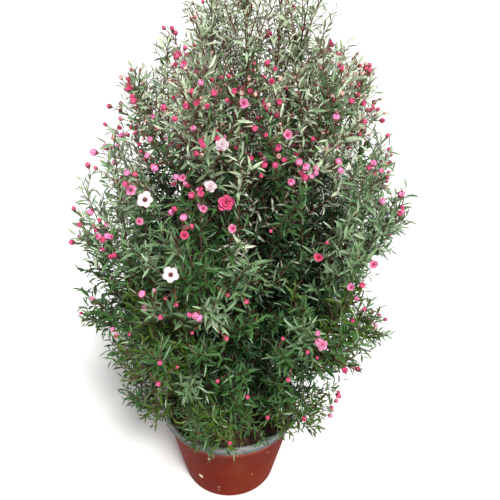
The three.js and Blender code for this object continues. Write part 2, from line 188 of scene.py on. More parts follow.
@dataclass
class Shape:
    """Corners, triangles and a flat map, as arrays."""

    corners: np.ndarray
    triangles: np.ndarray
    flat: np.ndarray

    @classmethod
    def from_bmesh(cls, bm: bmesh.types.BMesh, flat: np.ndarray | None = None) -> "Shape":
        """Takes a finished bmesh as arrays, and frees it.

        Args:
            bm: the modelled shape.
            flat: a map coordinate for each corner, or None for a plain one.

        Returns:
            The shape.
        """
        bmesh.ops.triangulate(bm, faces=bm.faces[:])
        bm.verts.index_update()
        corners = np.array([corner.co[:] for corner in bm.verts])
        triangles = np.array([[corner.index for corner in face.verts] for face in bm.faces])
        bm.free()
        return cls(corners, triangles, corners[:, :2].copy() if flat is None else flat)

    @classmethod
    def joined(cls, shapes: Sequence["Shape"]) -> "Shape":
        """One shape that holds several.

        Args:
            shapes: the shapes.

        Returns:
            The joined shape.
        """
        starts = np.cumsum([0] + [len(shape.corners) for shape in shapes])
        corners = np.concatenate([shape.corners for shape in shapes])
        triangles = np.concatenate([shape.triangles + start for shape, start in zip(shapes, starts)])
        return cls(corners, triangles, np.concatenate([shape.flat for shape in shapes]))

    def scattered(self, roots: np.ndarray, axes: np.ndarray, sizes: np.ndarray) -> "Shape":
        """Many copies of the shape, joined.

        Args:
            roots: where each copy's own origin goes.
            axes: each copy's own X, Y and Z directions, as rows.
            sizes: each copy's size along those directions.

        Returns:
            All copies as one shape.
        """
        count, corners = len(roots), len(self.corners)
        placed = roots[:, None, :] + np.einsum("vk,nk,nkj->nvj", self.corners, sizes, axes)
        triangles = self.triangles[None, :, :] + (np.arange(count) * corners)[:, None, None]
        return Shape(placed.reshape(-1, 3), triangles.reshape(-1, 3), np.tile(self.flat, (count, 1)))

    def to_object(self, name: str) -> bpy.types.Object:
        """The shape as a smooth-shaded object at the origin.

        Args:
            name: the piece's name.

        Returns:
            The new object.
        """
        mesh = bpy.data.meshes.new(name)
        mesh.vertices.add(len(self.corners))
        mesh.vertices.foreach_set("co", self.corners.astype(np.float32).ravel())
        mesh.loops.add(self.triangles.size)
        mesh.loops.foreach_set("vertex_index", self.triangles.astype(np.int32).ravel())
        mesh.polygons.add(len(self.triangles))
        mesh.polygons.foreach_set("loop_start", np.arange(0, self.triangles.size, 3, dtype=np.int32))
        mesh.polygons.foreach_set("use_smooth", np.ones(len(self.triangles), dtype=bool))
        layer = mesh.uv_layers.new(name="UVMap")
        layer.data.foreach_set("uv", self.flat[self.triangles.ravel()].astype(np.float32).ravel())
        mesh.update(calc_edges=True)
        return link_object(name, mesh)


def link_object(name: str, data: bpy.types.ID) -> bpy.types.Object:
    """Puts a mesh, light or camera into the scene.

    Args:
        name: the object's name.
        data: its mesh, light or camera.

    Returns:
        The new object.
    """
    thing = bpy.data.objects.new(name, data)
    bpy.context.scene.collection.objects.link(thing)
    return thing


def object_from_bmesh(name: str, bm: bmesh.types.BMesh) -> bpy.types.Object:
    """A finished bmesh as a smooth-shaded object, with the bmesh freed.

    Args:
        name: the piece's name.
        bm: the modelled shape.

    Returns:
        The new object.
    """
    for face in bm.faces:
        face.smooth = True
    mesh = bpy.data.meshes.new(name)
    bm.to_mesh(mesh)
    bm.free()
    return link_object(name, mesh)


def spun(profile: Sequence[Pair], steps: int) -> bmesh.types.BMesh:
    """A solid of revolution about Z.

    Args:
        profile: radius and height pairs, from the axis.
        steps: sides of the full turn.

    Returns:
        The solid, with its faces pointing out.
    """
    bm = bmesh.new()
    corners = [bm.verts.new((radius, 0.0, height)) for radius, height in profile]
    edges = [bm.edges.new(pair) for pair in zip(corners, corners[1:])]
    bmesh.ops.spin(bm, geom=corners + edges, cent=(0, 0, 0), axis=(0, 0, 1), angle=FULL_TURN,
                   steps=steps, use_merge=True)
    bmesh.ops.remove_doubles(bm, verts=bm.verts[:], dist=WELD)
    bmesh.ops.recalc_face_normals(bm, faces=bm.faces[:])
    return bm


def tubes(lines: np.ndarray, ends: np.ndarray, sides: int) -> Shape:
    """Tapering closed tubes along lines that have the same number of points.

    Args:
        lines: the points of each line.
        ends: each tube's radius at its foot and at its tip.
        sides: sides of each tube.

    Returns:
        All tubes as one shape.
    """
    count, points = lines.shape[:2]
    headings = unit(np.gradient(lines, axis=1))
    across, along = beside(headings, headings[:, :1, 2:3])
    share = np.linspace(0.0, 1.0, points)
    radius = ends[:, :1] + (ends[:, 1:] - ends[:, :1]) * share
    angle = FULL_TURN * np.arange(sides) / sides
    ring = across[:, :, None] * np.cos(angle)[:, None] + along[:, :, None] * np.sin(angle)[:, None]
    body = (lines[:, :, None] + radius[..., None, None] * ring).reshape(count, points * sides, 3)
    caps = np.stack([lines[:, 0], lines[:, -1] + headings[:, -1] * ends[:, 1:]], axis=1)
    corners = np.concatenate([body, caps], axis=1)
    here = np.arange(sides)
    after = (here + 1) % sides
    last = (points - 1) * sides
    foot, tip = np.full(sides, last + sides), np.full(sides, last + sides + 1)
    faces = [np.stack([after, here, foot], axis=1), np.stack([last + here, last + after, tip], axis=1)]
    for low in range(0, last, sides):
        high = low + sides
        faces.append(np.stack([low + here, low + after, high + after], axis=1))
        faces.append(np.stack([low + here, high + after, high + here], axis=1))
    triangles = np.concatenate(faces)[None] + (np.arange(count) * corners.shape[1])[:, None, None]
    flat_across = np.append(np.tile(here / sides, points), [0.5, 0.5])
    flat_along = np.append(np.repeat(share, sides), [0.0, 1.0])
    flat = np.tile(np.stack([flat_across, flat_along], axis=1), (count, 1))
    return Shape(corners.reshape(-1, 3), triangles.reshape(-1, 3), flat)


def finish_piece(piece: bpy.types.Object, slot: str, nodes: Iterable[str], *materials: Material) -> None:
    """Dresses a piece, ties it to the model and reports it.

    Args:
        piece: the modelled piece.
        slot: the record's material slot; not used.
        nodes: the nodes that it stands for.
        materials: its materials, in the order of its faces' indices.
    """
    for material in materials:
        piece.data.materials.append(material)
    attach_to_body(piece, "root")
    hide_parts(*nodes)
    LOG.info("%s: %d faces", piece.name, len(piece.data.polygons))


# Finishes


@dataclass(frozen=True)
class Clouds:
    """Cloudy noise: clouds for each metre, octaves, the values that give 0 and 1, and stretch by axis."""

    scale: float
    detail: float = 3.0
    low: float = 0.3
    high: float = 0.7
    stretch: Triple = (1.0, 1.0, 1.0)


# Places of the mix node's colour sockets, which share their names with others.
MIX_FACTOR, MIX_FIRST, MIX_SECOND, MIX_RESULT = 0, 6, 7, 2


class Graph:
    """A material's nodes, with short calls that add and link them."""

    def __init__(self, name: str, **sockets: float) -> None:
        """Starts a material with a plain shader.

        Args:
            name: the material's name.
            sockets: constant values of the shader's own sockets, with _ for a space.
        """
        self.material = bpy.data.materials.new(name)
        self.material.use_nodes = True
        self.tree = self.material.node_tree
        self.tree.nodes.clear()
        self.shader = self.tree.nodes.new("ShaderNodeBsdfPrincipled")
        output = self.tree.nodes.new("ShaderNodeOutputMaterial")
        self.tree.links.new(self.shader.outputs["BSDF"], output.inputs["Surface"])
        for socket, value in sockets.items():
            self.shader.inputs[socket.replace("_", " ")].default_value = value
        self.coordinates = self.tree.nodes.new("ShaderNodeTexCoord").outputs

    def feed(self, socket: Socket, value: object) -> None:
        """Links an output to a socket, or sets the socket to a constant.

        Args:
            socket: the input.
            value: the output or the constant.
        """
        if isinstance(value, Socket):
            self.tree.links.new(value, socket)
        else:
            socket.default_value = value

    def node(self, kind: str, output: str | int, inputs: dict[str | int, object], **settings: str) -> Socket:
        """Adds a node.

        Args:
            kind: the node's kind, without the prefix that all kinds share.
            output: the output that is wanted.
            inputs: outputs or constants that feed its inputs.
            settings: its own settings.

        Returns:
            The wanted output.
        """
        node = self.tree.nodes.new(f"ShaderNode{kind}")
        for setting, value in settings.items():
            setattr(node, setting, value)
        for socket, value in inputs.items():
            self.feed(node.inputs[socket], value)
        return node.outputs[output]

    def noise(self, clouds: Clouds) -> Socket:
        """Cloudy noise, from 0 to 1, on Object coordinates."""
        place = self.node("Mapping", 0, {"Vector": self.coordinates["Object"], "Scale": clouds.stretch})
        return self.node("TexNoise", "Fac", {"Vector": place, "Scale": clouds.scale, "Detail": clouds.detail})

    def patches(self, clouds: Clouds) -> Socket:
        """Cloudy noise, stretched so that the clouds' low value gives 0 and their high one 1."""
        return self.mask(self.noise(clouds), clouds.low, clouds.high)

    def cells(self, scale: float) -> Socket:
        """Distance to the nearest of scattered points on Object coordinates."""
        return self.node("TexVoronoi", "Distance", {"Vector": self.coordinates["Object"], "Scale": scale})

    def distance(self, place: Vector) -> Socket:
        """Distance to a place, on Object coordinates."""
        ends = {0: self.coordinates["Object"], 1: place}
        return self.node("VectorMath", "Value", ends, operation="DISTANCE")

    def part(self, source: str, axis: str) -> Socket:
        """One axis of the Object or UV coordinates."""
        return self.node("SeparateXYZ", axis, {"Vector": self.coordinates[source]})

    def mask(self, factor: Socket, low: float, high: float) -> Socket:
        """A factor stretched so that low gives 0 and high gives 1."""
        return self.node("MapRange", "Result", {"Value": factor, "From Min": low, "From Max": high})

    def math(self, operation: str, first: object, second: object = 0.0) -> Socket:
        """One sum of two values."""
        return self.node("Math", "Value", {0: first, 1: second}, operation=operation)

    def times(self, first: object, second: object) -> Socket:
        """Two values multiplied."""
        return self.math("MULTIPLY", first, second)

    def mix(self, factor: object, first: object, second: object) -> Socket:
        """Two colours mixed by a factor."""
        inputs = {MIX_FACTOR: factor, MIX_FIRST: first, MIX_SECOND: second}
        return self.node("Mix", MIX_RESULT, inputs, data_type="RGBA")

    def ramp(self, factor: Socket, *stops: tuple[float, Colour]) -> Socket:
        """A colour ramp over a factor.

        Args:
            factor: the value that the ramp reads.
            stops: places and colours along it.

        Returns:
            The colour.
        """
        node = self.tree.nodes.new("ShaderNodeValToRGB")
        self.feed(node.inputs["Fac"], factor)
        points = node.color_ramp.elements
        while len(points) < len(stops):
            points.new(0.5)
        for point, (place, colour) in zip(points, stops):
            point.position = place
            point.color = colour
        return node.outputs["Color"]

    def dress(self, colour: object, roughness: object = None, height: object = None,
              depth: float = 0.0) -> Material:
        """Ties colour, roughness and relief to the shader.

        Args:
            colour: the base colour.
            roughness: a varying roughness, or None for the constant one.
            height: the relief, or None.
            depth: the relief's depth in metres.

        Returns:
            The finished material.
        """
        self.feed(self.shader.inputs["Base Color"], colour)
        if roughness is not None:
            self.feed(self.shader.inputs["Roughness"], roughness)
        if height is not None:
            relief = self.node("Bump", "Normal", {"Distance": depth, "Height": height})
            self.feed(self.shader.inputs["Normal"], relief)
        return self.material


@dataclass(frozen=True)
class LeafFinish:
    """A stiff leaf: one tint, a paler midrib and a little mottling."""

    name: str
    tint: Colour
    rib: Colour
    shade: Colour
    lightness: float
    roughness: float = 0.33
    gloss: float = 0.55
    mottle: Clouds = Clouds(90.0, 2.0, 0.36, 0.66)
    rib_edges: Pair = (0.12, 0.02)
    rib_strength: float = 0.45
    fold: float = 0.4 * MM

    def material(self) -> Material:
        """Makes the finish.

        Returns:
            The material.
        """
        graph = Graph(self.name, Roughness=self.roughness, Specular_IOR_Level=self.gloss)
        body = graph.mix(graph.patches(self.mottle), self.shade, self.tint)
        across = graph.math("ABSOLUTE", graph.math("SUBTRACT", graph.part("UV", "X"), 0.5))
        rib = graph.times(graph.mask(across, *self.rib_edges), self.rib_strength)
        return graph.dress(graph.mix(rib, body, self.rib), height=across, depth=self.fold)


@dataclass(frozen=True)
class PetalFinish:
    """A thin petal: a throat colour that runs out into the blade, with fine veins."""

    name: str
    throat: Colour
    blade: Colour
    edge: Colour
    stops: Triple = (0.08, 0.34, 0.95)
    mottle: Clouds = Clouds(500.0, 2.0)
    mottle_strength: float = 0.25
    veins: float = 60.0
    vein_depth: float = 0.06 * MM

    def material(self) -> Material:
        """Makes the finish.

        Returns:
            The material.
        """
        graph = Graph(self.name, Roughness=0.55, Specular_IOR_Level=0.3, Sheen_Weight=0.15)
        colour = graph.ramp(graph.part("UV", "Y"), *zip(self.stops, (self.throat, self.blade, self.edge)))
        veins = graph.math("SINE", graph.times(graph.part("UV", "X"), self.veins))
        mottle = graph.times(graph.noise(self.mottle), self.mottle_strength)
        return graph.dress(graph.mix(mottle, colour, self.throat), height=veins, depth=self.vein_depth)


@dataclass(frozen=True)
class BudFinish:
    """A closed bud: furled petals, paler over the upper part, partly their own colour and partly painted
    highlight, with painted shade in the creases where they wrap, and the size of such buds.
    """

    name: str
    low: Colour
    high: Colour
    size: float
    stops: tuple[float, ...] = (0.3, 0.62, 0.9, 1.0)
    clouds: Clouds = Clouds(160.0, 2.0)
    cloud_strength: float = 0.4
    climb: float = 0.8
    furls: float = 31.4
    crease_shade_edges: Pair = (-0.4, -1.0)
    crease_shade_strength: float = 0.45
    furl_depth: float = 0.2 * MM

    def material(self) -> Material:
        """Makes the finish.

        Returns:
            The material.
        """
        graph = Graph(self.name, Roughness=0.48, Specular_IOR_Level=0.45)
        # Paler over the upper part: partly the petals' own colour, partly painted highlight from above.
        clouds = graph.times(graph.noise(self.clouds), self.cloud_strength)
        along = graph.math("ADD", graph.times(graph.part("UV", "Y"), self.climb), clouds)
        colour = graph.ramp(along, *zip(self.stops, (self.low, self.high, self.high, self.low)))
        furl = graph.math("SINE", graph.times(graph.part("UV", "X"), self.furls))
        # Painted shade: the creases between the furled petals are darkened towards the foot colour.
        crease_shade = graph.times(graph.mask(furl, *self.crease_shade_edges), self.crease_shade_strength)
        return graph.dress(graph.mix(crease_shade, colour, self.low), height=furl, depth=self.furl_depth)


@dataclass(frozen=True)
class GrainFinish:
    """A plain part in two near tints with a fine grain."""

    name: str
    dark: Colour
    light: Colour
    grain: Clouds
    depth: float
    roughness: float = 0.7

    def material(self) -> Material:
        """Makes the finish.

        Returns:
            The material.
        """
        graph = Graph(self.name, Roughness=self.roughness, Specular_IOR_Level=0.3)
        grain = graph.noise(self.grain)
        colour = graph.mix(graph.mask(grain, self.grain.low, self.grain.high), self.dark, self.light)
        return graph.dress(colour, height=grain, depth=self.depth)


@dataclass(frozen=True)
class BarkFinish:
    """Thin bark that splits lengthwise and flakes."""

    name: str
    furrow: Colour
    ridge: Colour
    flake: Colour
    stops: Triple = (0.36, 0.52, 0.72)
    splits: Clouds = Clouds(420.0, 4.0, stretch=(1, 1, 0.16))
    split_depth: float = 0.7 * MM
    flakes: Clouds = Clouds(110.0, 3.0, 0.45, 0.75, (1, 1, 0.5))

    def material(self) -> Material:
        """Makes the finish.

        Returns:
            The material.
        """
        graph = Graph(self.name, Roughness=0.9, Specular_IOR_Level=0.2)
        splits = graph.noise(self.splits)
        bark = graph.ramp(splits, *zip(self.stops, (self.furrow, self.ridge, self.flake)))
        colour = graph.mix(graph.patches(self.flakes), bark, self.flake)
        return graph.dress(colour, height=splits, depth=self.split_depth)


@dataclass(frozen=True)
class PlasticFinish:
    """Moulded plastic that has stood outdoors: faded, dusty and scuffed, with a paler band round it, in
    patches, that is painted highlight along a moulded edge and on the rim partly rubbed wear.
    """

    name: str
    fresh: Colour
    faded: Colour
    dust: Colour
    worn_and_highlight: Colour
    band: Pair
    band_edge: float = 0.6 * MM
    fade: Clouds = Clouds(14.0, 4.0, 0.35, 0.7)
    film: Clouds = Clouds(38.0, 5.0, 0.48, 0.78, (1, 1, 0.35))
    film_strength: float = 0.7
    film_roughness: Pair = (-0.6, 1.1)
    worn_highlight_patches: Clouds = Clouds(60.0, 4.0, 0.25, 0.65, (1, 1, 3))
    worn_highlight_strength: float = 0.85
    specks: float = 150.0
    speck_edges: Pair = (0.1, 0.05)
    speck_patches: Clouds = Clouds(21.0, 1.0, 0.6, 0.64)
    ragged: Clouds = Clouds(700.0, 2.0)
    mark_edge: float = 0.8 * MM
    grain: Clouds = Clouds(900.0, 2.0)
    grain_depth: float = 0.08 * MM

    def material(self, marks: Sequence[tuple[Vector, float, Colour]] = ()) -> Material:
        """Makes the finish.

        Args:
            marks: chips and specks, each with its place, its radius and its colour.

        Returns:
            The material.
        """
        graph = Graph(self.name, Specular_IOR_Level=0.05)
        colour = graph.mix(graph.patches(self.fade), self.fresh, self.faded)
        film = graph.noise(self.film)
        dusty = graph.times(graph.mask(film, self.film.low, self.film.high), self.film_strength)
        colour = graph.mix(dusty, colour, self.dust)
        # The paler band between two heights, in patches, is painted highlight along a moulded edge; on the
        # rim it is partly rubbed wear as well.
        height = graph.part("Object", "Z")
        foot = graph.mask(height, self.band[0] - self.band_edge, self.band[0] + self.band_edge)
        head = graph.mask(height, self.band[1] + self.band_edge, self.band[1] - self.band_edge)
        worn_highlight = graph.times(graph.times(foot, head), graph.patches(self.worn_highlight_patches))
        colour = graph.mix(graph.times(worn_highlight, self.worn_highlight_strength), colour, self.worn_and_highlight)
        specks = graph.mask(graph.cells(self.specks), *self.speck_edges)
        colour = graph.mix(graph.times(specks, graph.patches(self.speck_patches)), colour, self.worn_and_highlight)
        ragged = graph.times(graph.noise(self.ragged), MM)
        for place, radius, tint in marks:
            gap = graph.math("ADD", graph.distance(place), ragged)
            colour = graph.mix(graph.mask(gap, radius + self.mark_edge, radius), colour, tint)
        roughness = graph.mask(film, *self.film_roughness)
        return graph.dress(colour, roughness, graph.noise(self.grain), self.grain_depth)


class Tint(Enum):
    """The tints of leaf that sprays are dealt."""

    SILVER = LeafFinish("leaf_silver", srgb(188, 202, 168), srgb(220, 228, 204), srgb(148, 170, 130), 1.0)
    MIST = LeafFinish("leaf_mist", srgb(146, 168, 130), srgb(192, 204, 172), srgb(106, 138, 94), 0.6)
    SAGE = LeafFinish("leaf_sage", srgb(112, 144, 98), srgb(164, 184, 146), srgb(78, 114, 66), 0.3)
    DEEP = LeafFinish("leaf_deep", srgb(62, 104, 46), srgb(104, 140, 82), srgb(40, 76, 30), -1.0)
    FRESH = LeafFinish("leaf_fresh", srgb(72, 100, 24), srgb(110, 134, 52), srgb(48, 76, 16), -0.2)
    # SHADE is painted shade: a dark tint for the leaves of twigs that end inside the crown, behind the outer
    # leaves.
    SHADE = LeafFinish("leaf_shade", srgb(30, 66, 26), srgb(50, 84, 40), srgb(18, 46, 16), -1.0)
    PALE = LeafFinish("leaf_pale", srgb(206, 212, 188), srgb(230, 232, 212), srgb(172, 182, 154), 1.0)


class Bloom(Enum):
    """The colours of open flower."""

    WHITE = PetalFinish("petal_white", srgb(214, 140, 156), srgb(244, 230, 232), srgb(242, 216, 226))
    PINK = PetalFinish("petal_pink", srgb(172, 36, 92), srgb(234, 110, 164), srgb(244, 172, 206))
    CRIMSON = PetalFinish("petal_crimson", srgb(126, 8, 40), srgb(220, 36, 96), srgb(240, 104, 156))


class BudTint(Enum):
    """The colours of closed bud."""

    CRIMSON = BudFinish("bud_crimson", srgb(164, 16, 56), srgb(232, 80, 132), 0.92)
    PINK = BudFinish("bud_pink", srgb(196, 36, 104), srgb(248, 146, 196), 1.06)
    CREAM = BudFinish("bud_cream", srgb(176, 78, 84), srgb(238, 200, 184), 0.66)


CALYX = GrainFinish("calyx", srgb(92, 44, 40), srgb(138, 84, 62), Clouds(300.0), 0.15 * MM)
HEART = GrainFinish("flower_heart", srgb(58, 28, 22), srgb(116, 98, 50), Clouds(900.0), 0.1 * MM, 0.5)
STEM = GrainFinish("young_stem", srgb(76, 48, 38), srgb(128, 88, 70), Clouds(220.0), 0.15 * MM)
BARK = BarkFinish("bark", srgb(52, 38, 30), srgb(104, 82, 66), srgb(146, 126, 108))
MIX = GrainFinish("potting_mix", srgb(30, 21, 16), srgb(74, 52, 38), Clouds(260.0), 1.2 * MM, 0.95)
CRUMB = GrainFinish("bark_crumb", srgb(46, 31, 22), srgb(106, 76, 54), Clouds(120.0), 0.6 * MM, 0.9)
# The body's band is painted highlight along the moulded step under the lip.
POT_BODY = PlasticFinish("pot_red", srgb(98, 20, 6), srgb(117, 37, 14), srgb(112, 54, 34),
                         srgb(164, 84, 64), band=(89 * MM, 97 * MM))
# The rim's band is partly rubbed wear and partly painted highlight along the rolled top edge.
POT_RIM = PlasticFinish("pot_rim", srgb(84, 92, 94), srgb(104, 110, 106), srgb(124, 124, 114),
                        srgb(144, 148, 144), band=(103 * MM, 109 * MM))
CHIP = srgb(226, 214, 186)
LICHEN = srgb(132, 124, 92)
RUB = srgb(176, 100, 78)
FLOOR_TINTS = (srgb(238, 238, 236), srgb(243, 243, 241))
FLOOR_CLOUDS = Clouds(3.0, 2.0)


# Studio


@dataclass(frozen=True)
class Sun:
    """A broad even light: the direction that it shines from, its strength and its width in degrees."""

    name: str
    toward: Triple
    strength: float
    width: float

    def build(self) -> None:
        """Makes the light."""
        lamp = bpy.data.lights.new(self.name, "SUN")
        lamp.energy = self.strength
        lamp.angle = math.radians(self.width)
        light = link_object(self.name, lamp)
        light.matrix_world = Vector(self.toward).to_track_quat("Z", "Y").to_matrix().to_4x4()


@dataclass
class Studio:
    """A pale floor, soft light and the camera at the photograph's angle."""

    eye: Triple = (0.0228, -0.501, 0.5528)
    pitch: float = 25.1
    roll: float = 0.9
    focal_pixels: float = 500.0
    picture: float = 500.0
    sensor: float = 36.0
    nearest: float = 0.01
    suns: tuple[Sun, ...] = (Sun("key_light", (0.3, -0.75, 0.95), 4.15, 15.0),
                             Sun("back_light", (-0.6, 0.5, 1.0), 0.6, 40.0))
    sky: float = 0.22
    floor_flat: float = 20.0
    floor_curl: float = 20.0
    floor_sweep: range = range(0, 61, 5)
    floor_sides: int = 96

    def turn(self) -> Matrix:
        """The camera's turn from looking straight down."""
        down = Matrix.Rotation(math.radians(90 - self.pitch), 4, "X")
        return down @ Matrix.Rotation(math.radians(self.roll), 4, "Z")

    def project(self, points: np.ndarray) -> tuple[np.ndarray, np.ndarray]:
        """Where points show in the picture.

        Args:
            points: places in the scene, one a row.

        Returns:
            Their pixels, one a row, and their depths.
        """
        local = (points - np.array(self.eye)) @ np.array(self.turn().to_3x3())
        depth = -local[:, 2]
        half = self.picture / 2
        across = half + self.focal_pixels * local[:, 0] / depth
        down = half - self.focal_pixels * local[:, 1] / depth
        return np.stack([across, down], axis=1), depth

    def behind(self, x: float, y: float, depth: float) -> np.ndarray:
        """The place that shows at a pixel.

        Args:
            x: the pixel's column.
            y: the pixel's row.
            depth: how far off the place is, along the camera's axis.

        Returns:
            The place.
        """
        half = self.picture / 2
        local = np.array([(x - half) / self.focal_pixels, (half - y) / self.focal_pixels, -1.0]) * depth
        return np.array(self.eye) + np.array(self.turn().to_3x3()) @ local

    def build(self) -> None:
        """Makes the camera, floor, lights and sky."""
        lens = bpy.data.cameras.new("camera")
        lens.sensor_width = self.sensor
        lens.lens = self.sensor * self.focal_pixels / self.picture
        lens.clip_start = self.nearest
        camera = link_object("camera", lens)
        camera.matrix_world = Matrix.Translation(self.eye) @ self.turn()
        bpy.context.scene.camera = camera
        self.build_floor()
        for sun in self.suns:
            sun.build()
        world = bpy.data.worlds.new("soft_sky")
        world.use_nodes = True
        sky = world.node_tree.nodes["Background"].inputs
        sky["Color"].default_value = (1.0, 1.0, 1.0, 1.0)
        sky["Strength"].default_value = self.sky
        bpy.context.scene.world = world
        bpy.context.scene.view_settings.view_transform = "Standard"

    def build_floor(self) -> None:
        """Makes the floor that the pot stands on, with a far rim that sweeps up out of sight."""
        curl = self.floor_curl
        sweep = [(self.floor_flat + curl * math.sin(angle), curl * (1 - math.cos(angle)))
                 for angle in np.radians(self.floor_sweep)]
        bm = spun([(0.0, 0.0), *sweep], self.floor_sides)
        bmesh.ops.reverse_faces(bm, faces=[face for face in bm.faces if face.normal.z < 0])
        floor = object_from_bmesh("floor", bm)
        graph = Graph("floor", Roughness=0.8, Specular_IOR_Level=0.1)
        floor.data.materials.append(graph.dress(graph.mix(graph.noise(FLOOR_CLOUDS), *FLOOR_TINTS)))


# Pot and potting mix


@dataclass(frozen=True)
class Mark:
    """A chip or speck on the pot: the pixel where it shows, its radius and its colour."""

    x: float
    y: float
    radius: float
    colour: Colour


MARKS = (
    Mark(201, 476, 3.2 * MM, CHIP),
    Mark(219, 487, 1.8 * MM, LICHEN),
    Mark(219, 490, 1.5 * MM, LICHEN),
    Mark(209, 459, 1.5 * MM, CHIP),
    Mark(252, 474, 1.6 * MM, RUB),
    Mark(268, 452, 1.6 * MM, RUB),
)


@dataclass
class Pot:
    """A thin tapering shell with a rolled lip, a moulded step under it and drain holes in the floor."""

    studio: Studio
    rim_radius: float
    height: float
    base_radius: float = 59 * MM
    wall: float = 2 * MM
    floor: float = 2.5 * MM
    lip_height: float = 9 * MM
    lip_overhang: float = 1.8 * MM
    step_height: float = 6 * MM
    step_depth: float = 1 * MM
    lip_round: float = 1.5 * MM
    foot_round: float = 2.2 * MM
    band_inside: float = 7 * MM
    paint_over: float = 0.1 * MM
    drains: int = 6
    drain_radius: float = 5 * MM
    drain_circle: float = 41 * MM
    drain_cut: float = 10 * MM
    drain_sides: int = 24
    steps: int = 120
    arc_points: int = 4
    foot_arc: Pair = (-90.0, -8.0)
    outer_arc: Pair = (0.0, 90.0)
    inner_arc: Pair = (90.0, 180.0)
    crease: float = 35.0
    sight_depths: Triple = (0.4, 0.8, 0.2 * MM)

    def wall_radius(self, height: float) -> float:
        """The outside radius of the plain wall at a height."""
        return lerp(self.base_radius, self.rim_radius - self.lip_overhang, height / self.height)

    def arc(self, centre: Pair, radius: float, ends: Pair) -> list[Pair]:
        """Points on a round edge of the profile.

        Args:
            centre: the arc's centre, as radius and height.
            radius: the arc's radius.
            ends: its first and its last angle in degrees, from straight out.

        Returns:
            Radius and height pairs.
        """
        angles = np.radians(np.linspace(*ends, self.arc_points + 1))
        return [(centre[0] + radius * math.cos(a), centre[1] + radius * math.sin(a)) for a in angles]

    def profile(self) -> list[Pair]:
        """The shell's half section.

        Returns:
            Radius and height pairs, from the middle of the underside round to the middle of the floor.
        """
        lip_foot = self.height - self.lip_height
        lip_middle = self.height - self.lip_round
        step_foot = lip_foot - self.step_height
        band_foot = self.height - self.band_inside
        inner_lip = self.wall_radius(self.height) - self.wall
        step, soft = self.step_depth, self.step_depth / 4
        foot_middle = (self.base_radius - self.foot_round, self.foot_round)
        foot = self.arc(foot_middle, self.foot_round, self.foot_arc)
        outer = self.arc((self.rim_radius - self.lip_round, lip_middle), self.lip_round, self.outer_arc)
        inner = self.arc((inner_lip + self.lip_round, lip_middle), self.lip_round, self.inner_arc)
        return [
            (0.0, 0.0),
            *foot,
            (self.wall_radius(step_foot / 2), step_foot / 2),
            (self.wall_radius(step_foot), step_foot),
            (self.wall_radius(step_foot) + step, step_foot + step),
            (self.wall_radius(lip_foot) + step, lip_foot - soft),
            (self.wall_radius(lip_foot) + step, lip_foot),
            (self.rim_radius - soft, lip_foot),
            (self.rim_radius, lip_foot + soft),
            *outer,
            *inner,
            (self.wall_radius(band_foot) - self.wall, band_foot),
            (self.wall_radius(self.floor) - self.wall, self.floor),
            (0.0, self.floor),
        ]

    def drill(self, pot: bpy.types.Object) -> None:
        """Cuts the drain holes through the floor.

        Args:
            pot: the whole shell.
        """
        bm = bmesh.new()
        for k in range(self.drains):
            angle = FULL_TURN * k / self.drains
            centre = (self.drain_circle * math.cos(angle), self.drain_circle * math.sin(angle), 0)
            bmesh.ops.create_cone(bm, cap_ends=True, segments=self.drain_sides, radius1=self.drain_radius,
                                  radius2=self.drain_radius, depth=self.drain_cut,
                                  matrix=Matrix.Translation(centre))
        cutter = object_from_bmesh("drain_cutter", bm)
        cut = pot.modifiers.new("drains", "BOOLEAN")
        cut.object = cutter
        cut.operation = "DIFFERENCE"
        cut.solver = "EXACT"
        whole = pot.evaluated_get(bpy.context.evaluated_depsgraph_get())
        drilled = bpy.data.meshes.new_from_object(whole)
        pot.modifiers.clear()
        pot.data = drilled
        bpy.data.objects.remove(cutter)

    def marked(self, mark: Mark) -> tuple[Vector, float, Colour]:
        """A mark as the finish takes it.

        Args:
            mark: the mark.

        Returns:
            Its place on the outside of the wall, its radius and its colour.
        """
        ray = np.array([self.studio.behind(mark.x, mark.y, depth) for depth in np.arange(*self.sight_depths)])
        inside = np.hypot(ray[:, 0], ray[:, 1]) < self.wall_radius(ray[:, 2])
        return Vector(ray[np.argmax(inside)]), mark.radius, mark.colour

    def build(self) -> None:
        """Models the pot, paints its rim band and ties it to its node."""
        pot = object_from_bmesh("pot_shell", spun(self.profile(), self.steps))
        self.drill(pot)
        band_foot = self.height - self.lip_height - self.paint_over
        inside_foot = self.height - self.band_inside
        for face in pot.data.polygons:
            x, y, z = face.center
            outside = math.hypot(x, y) > self.wall_radius(z) - self.wall / 2
            face.material_index = int(z > (band_foot if outside else inside_foot))
        pot.data.set_sharp_from_angle(angle=math.radians(self.crease))
        body = POT_BODY.material([self.marked(mark) for mark in MARKS])
        finish_piece(pot, "pot", ["pot"], body, POT_RIM.material())


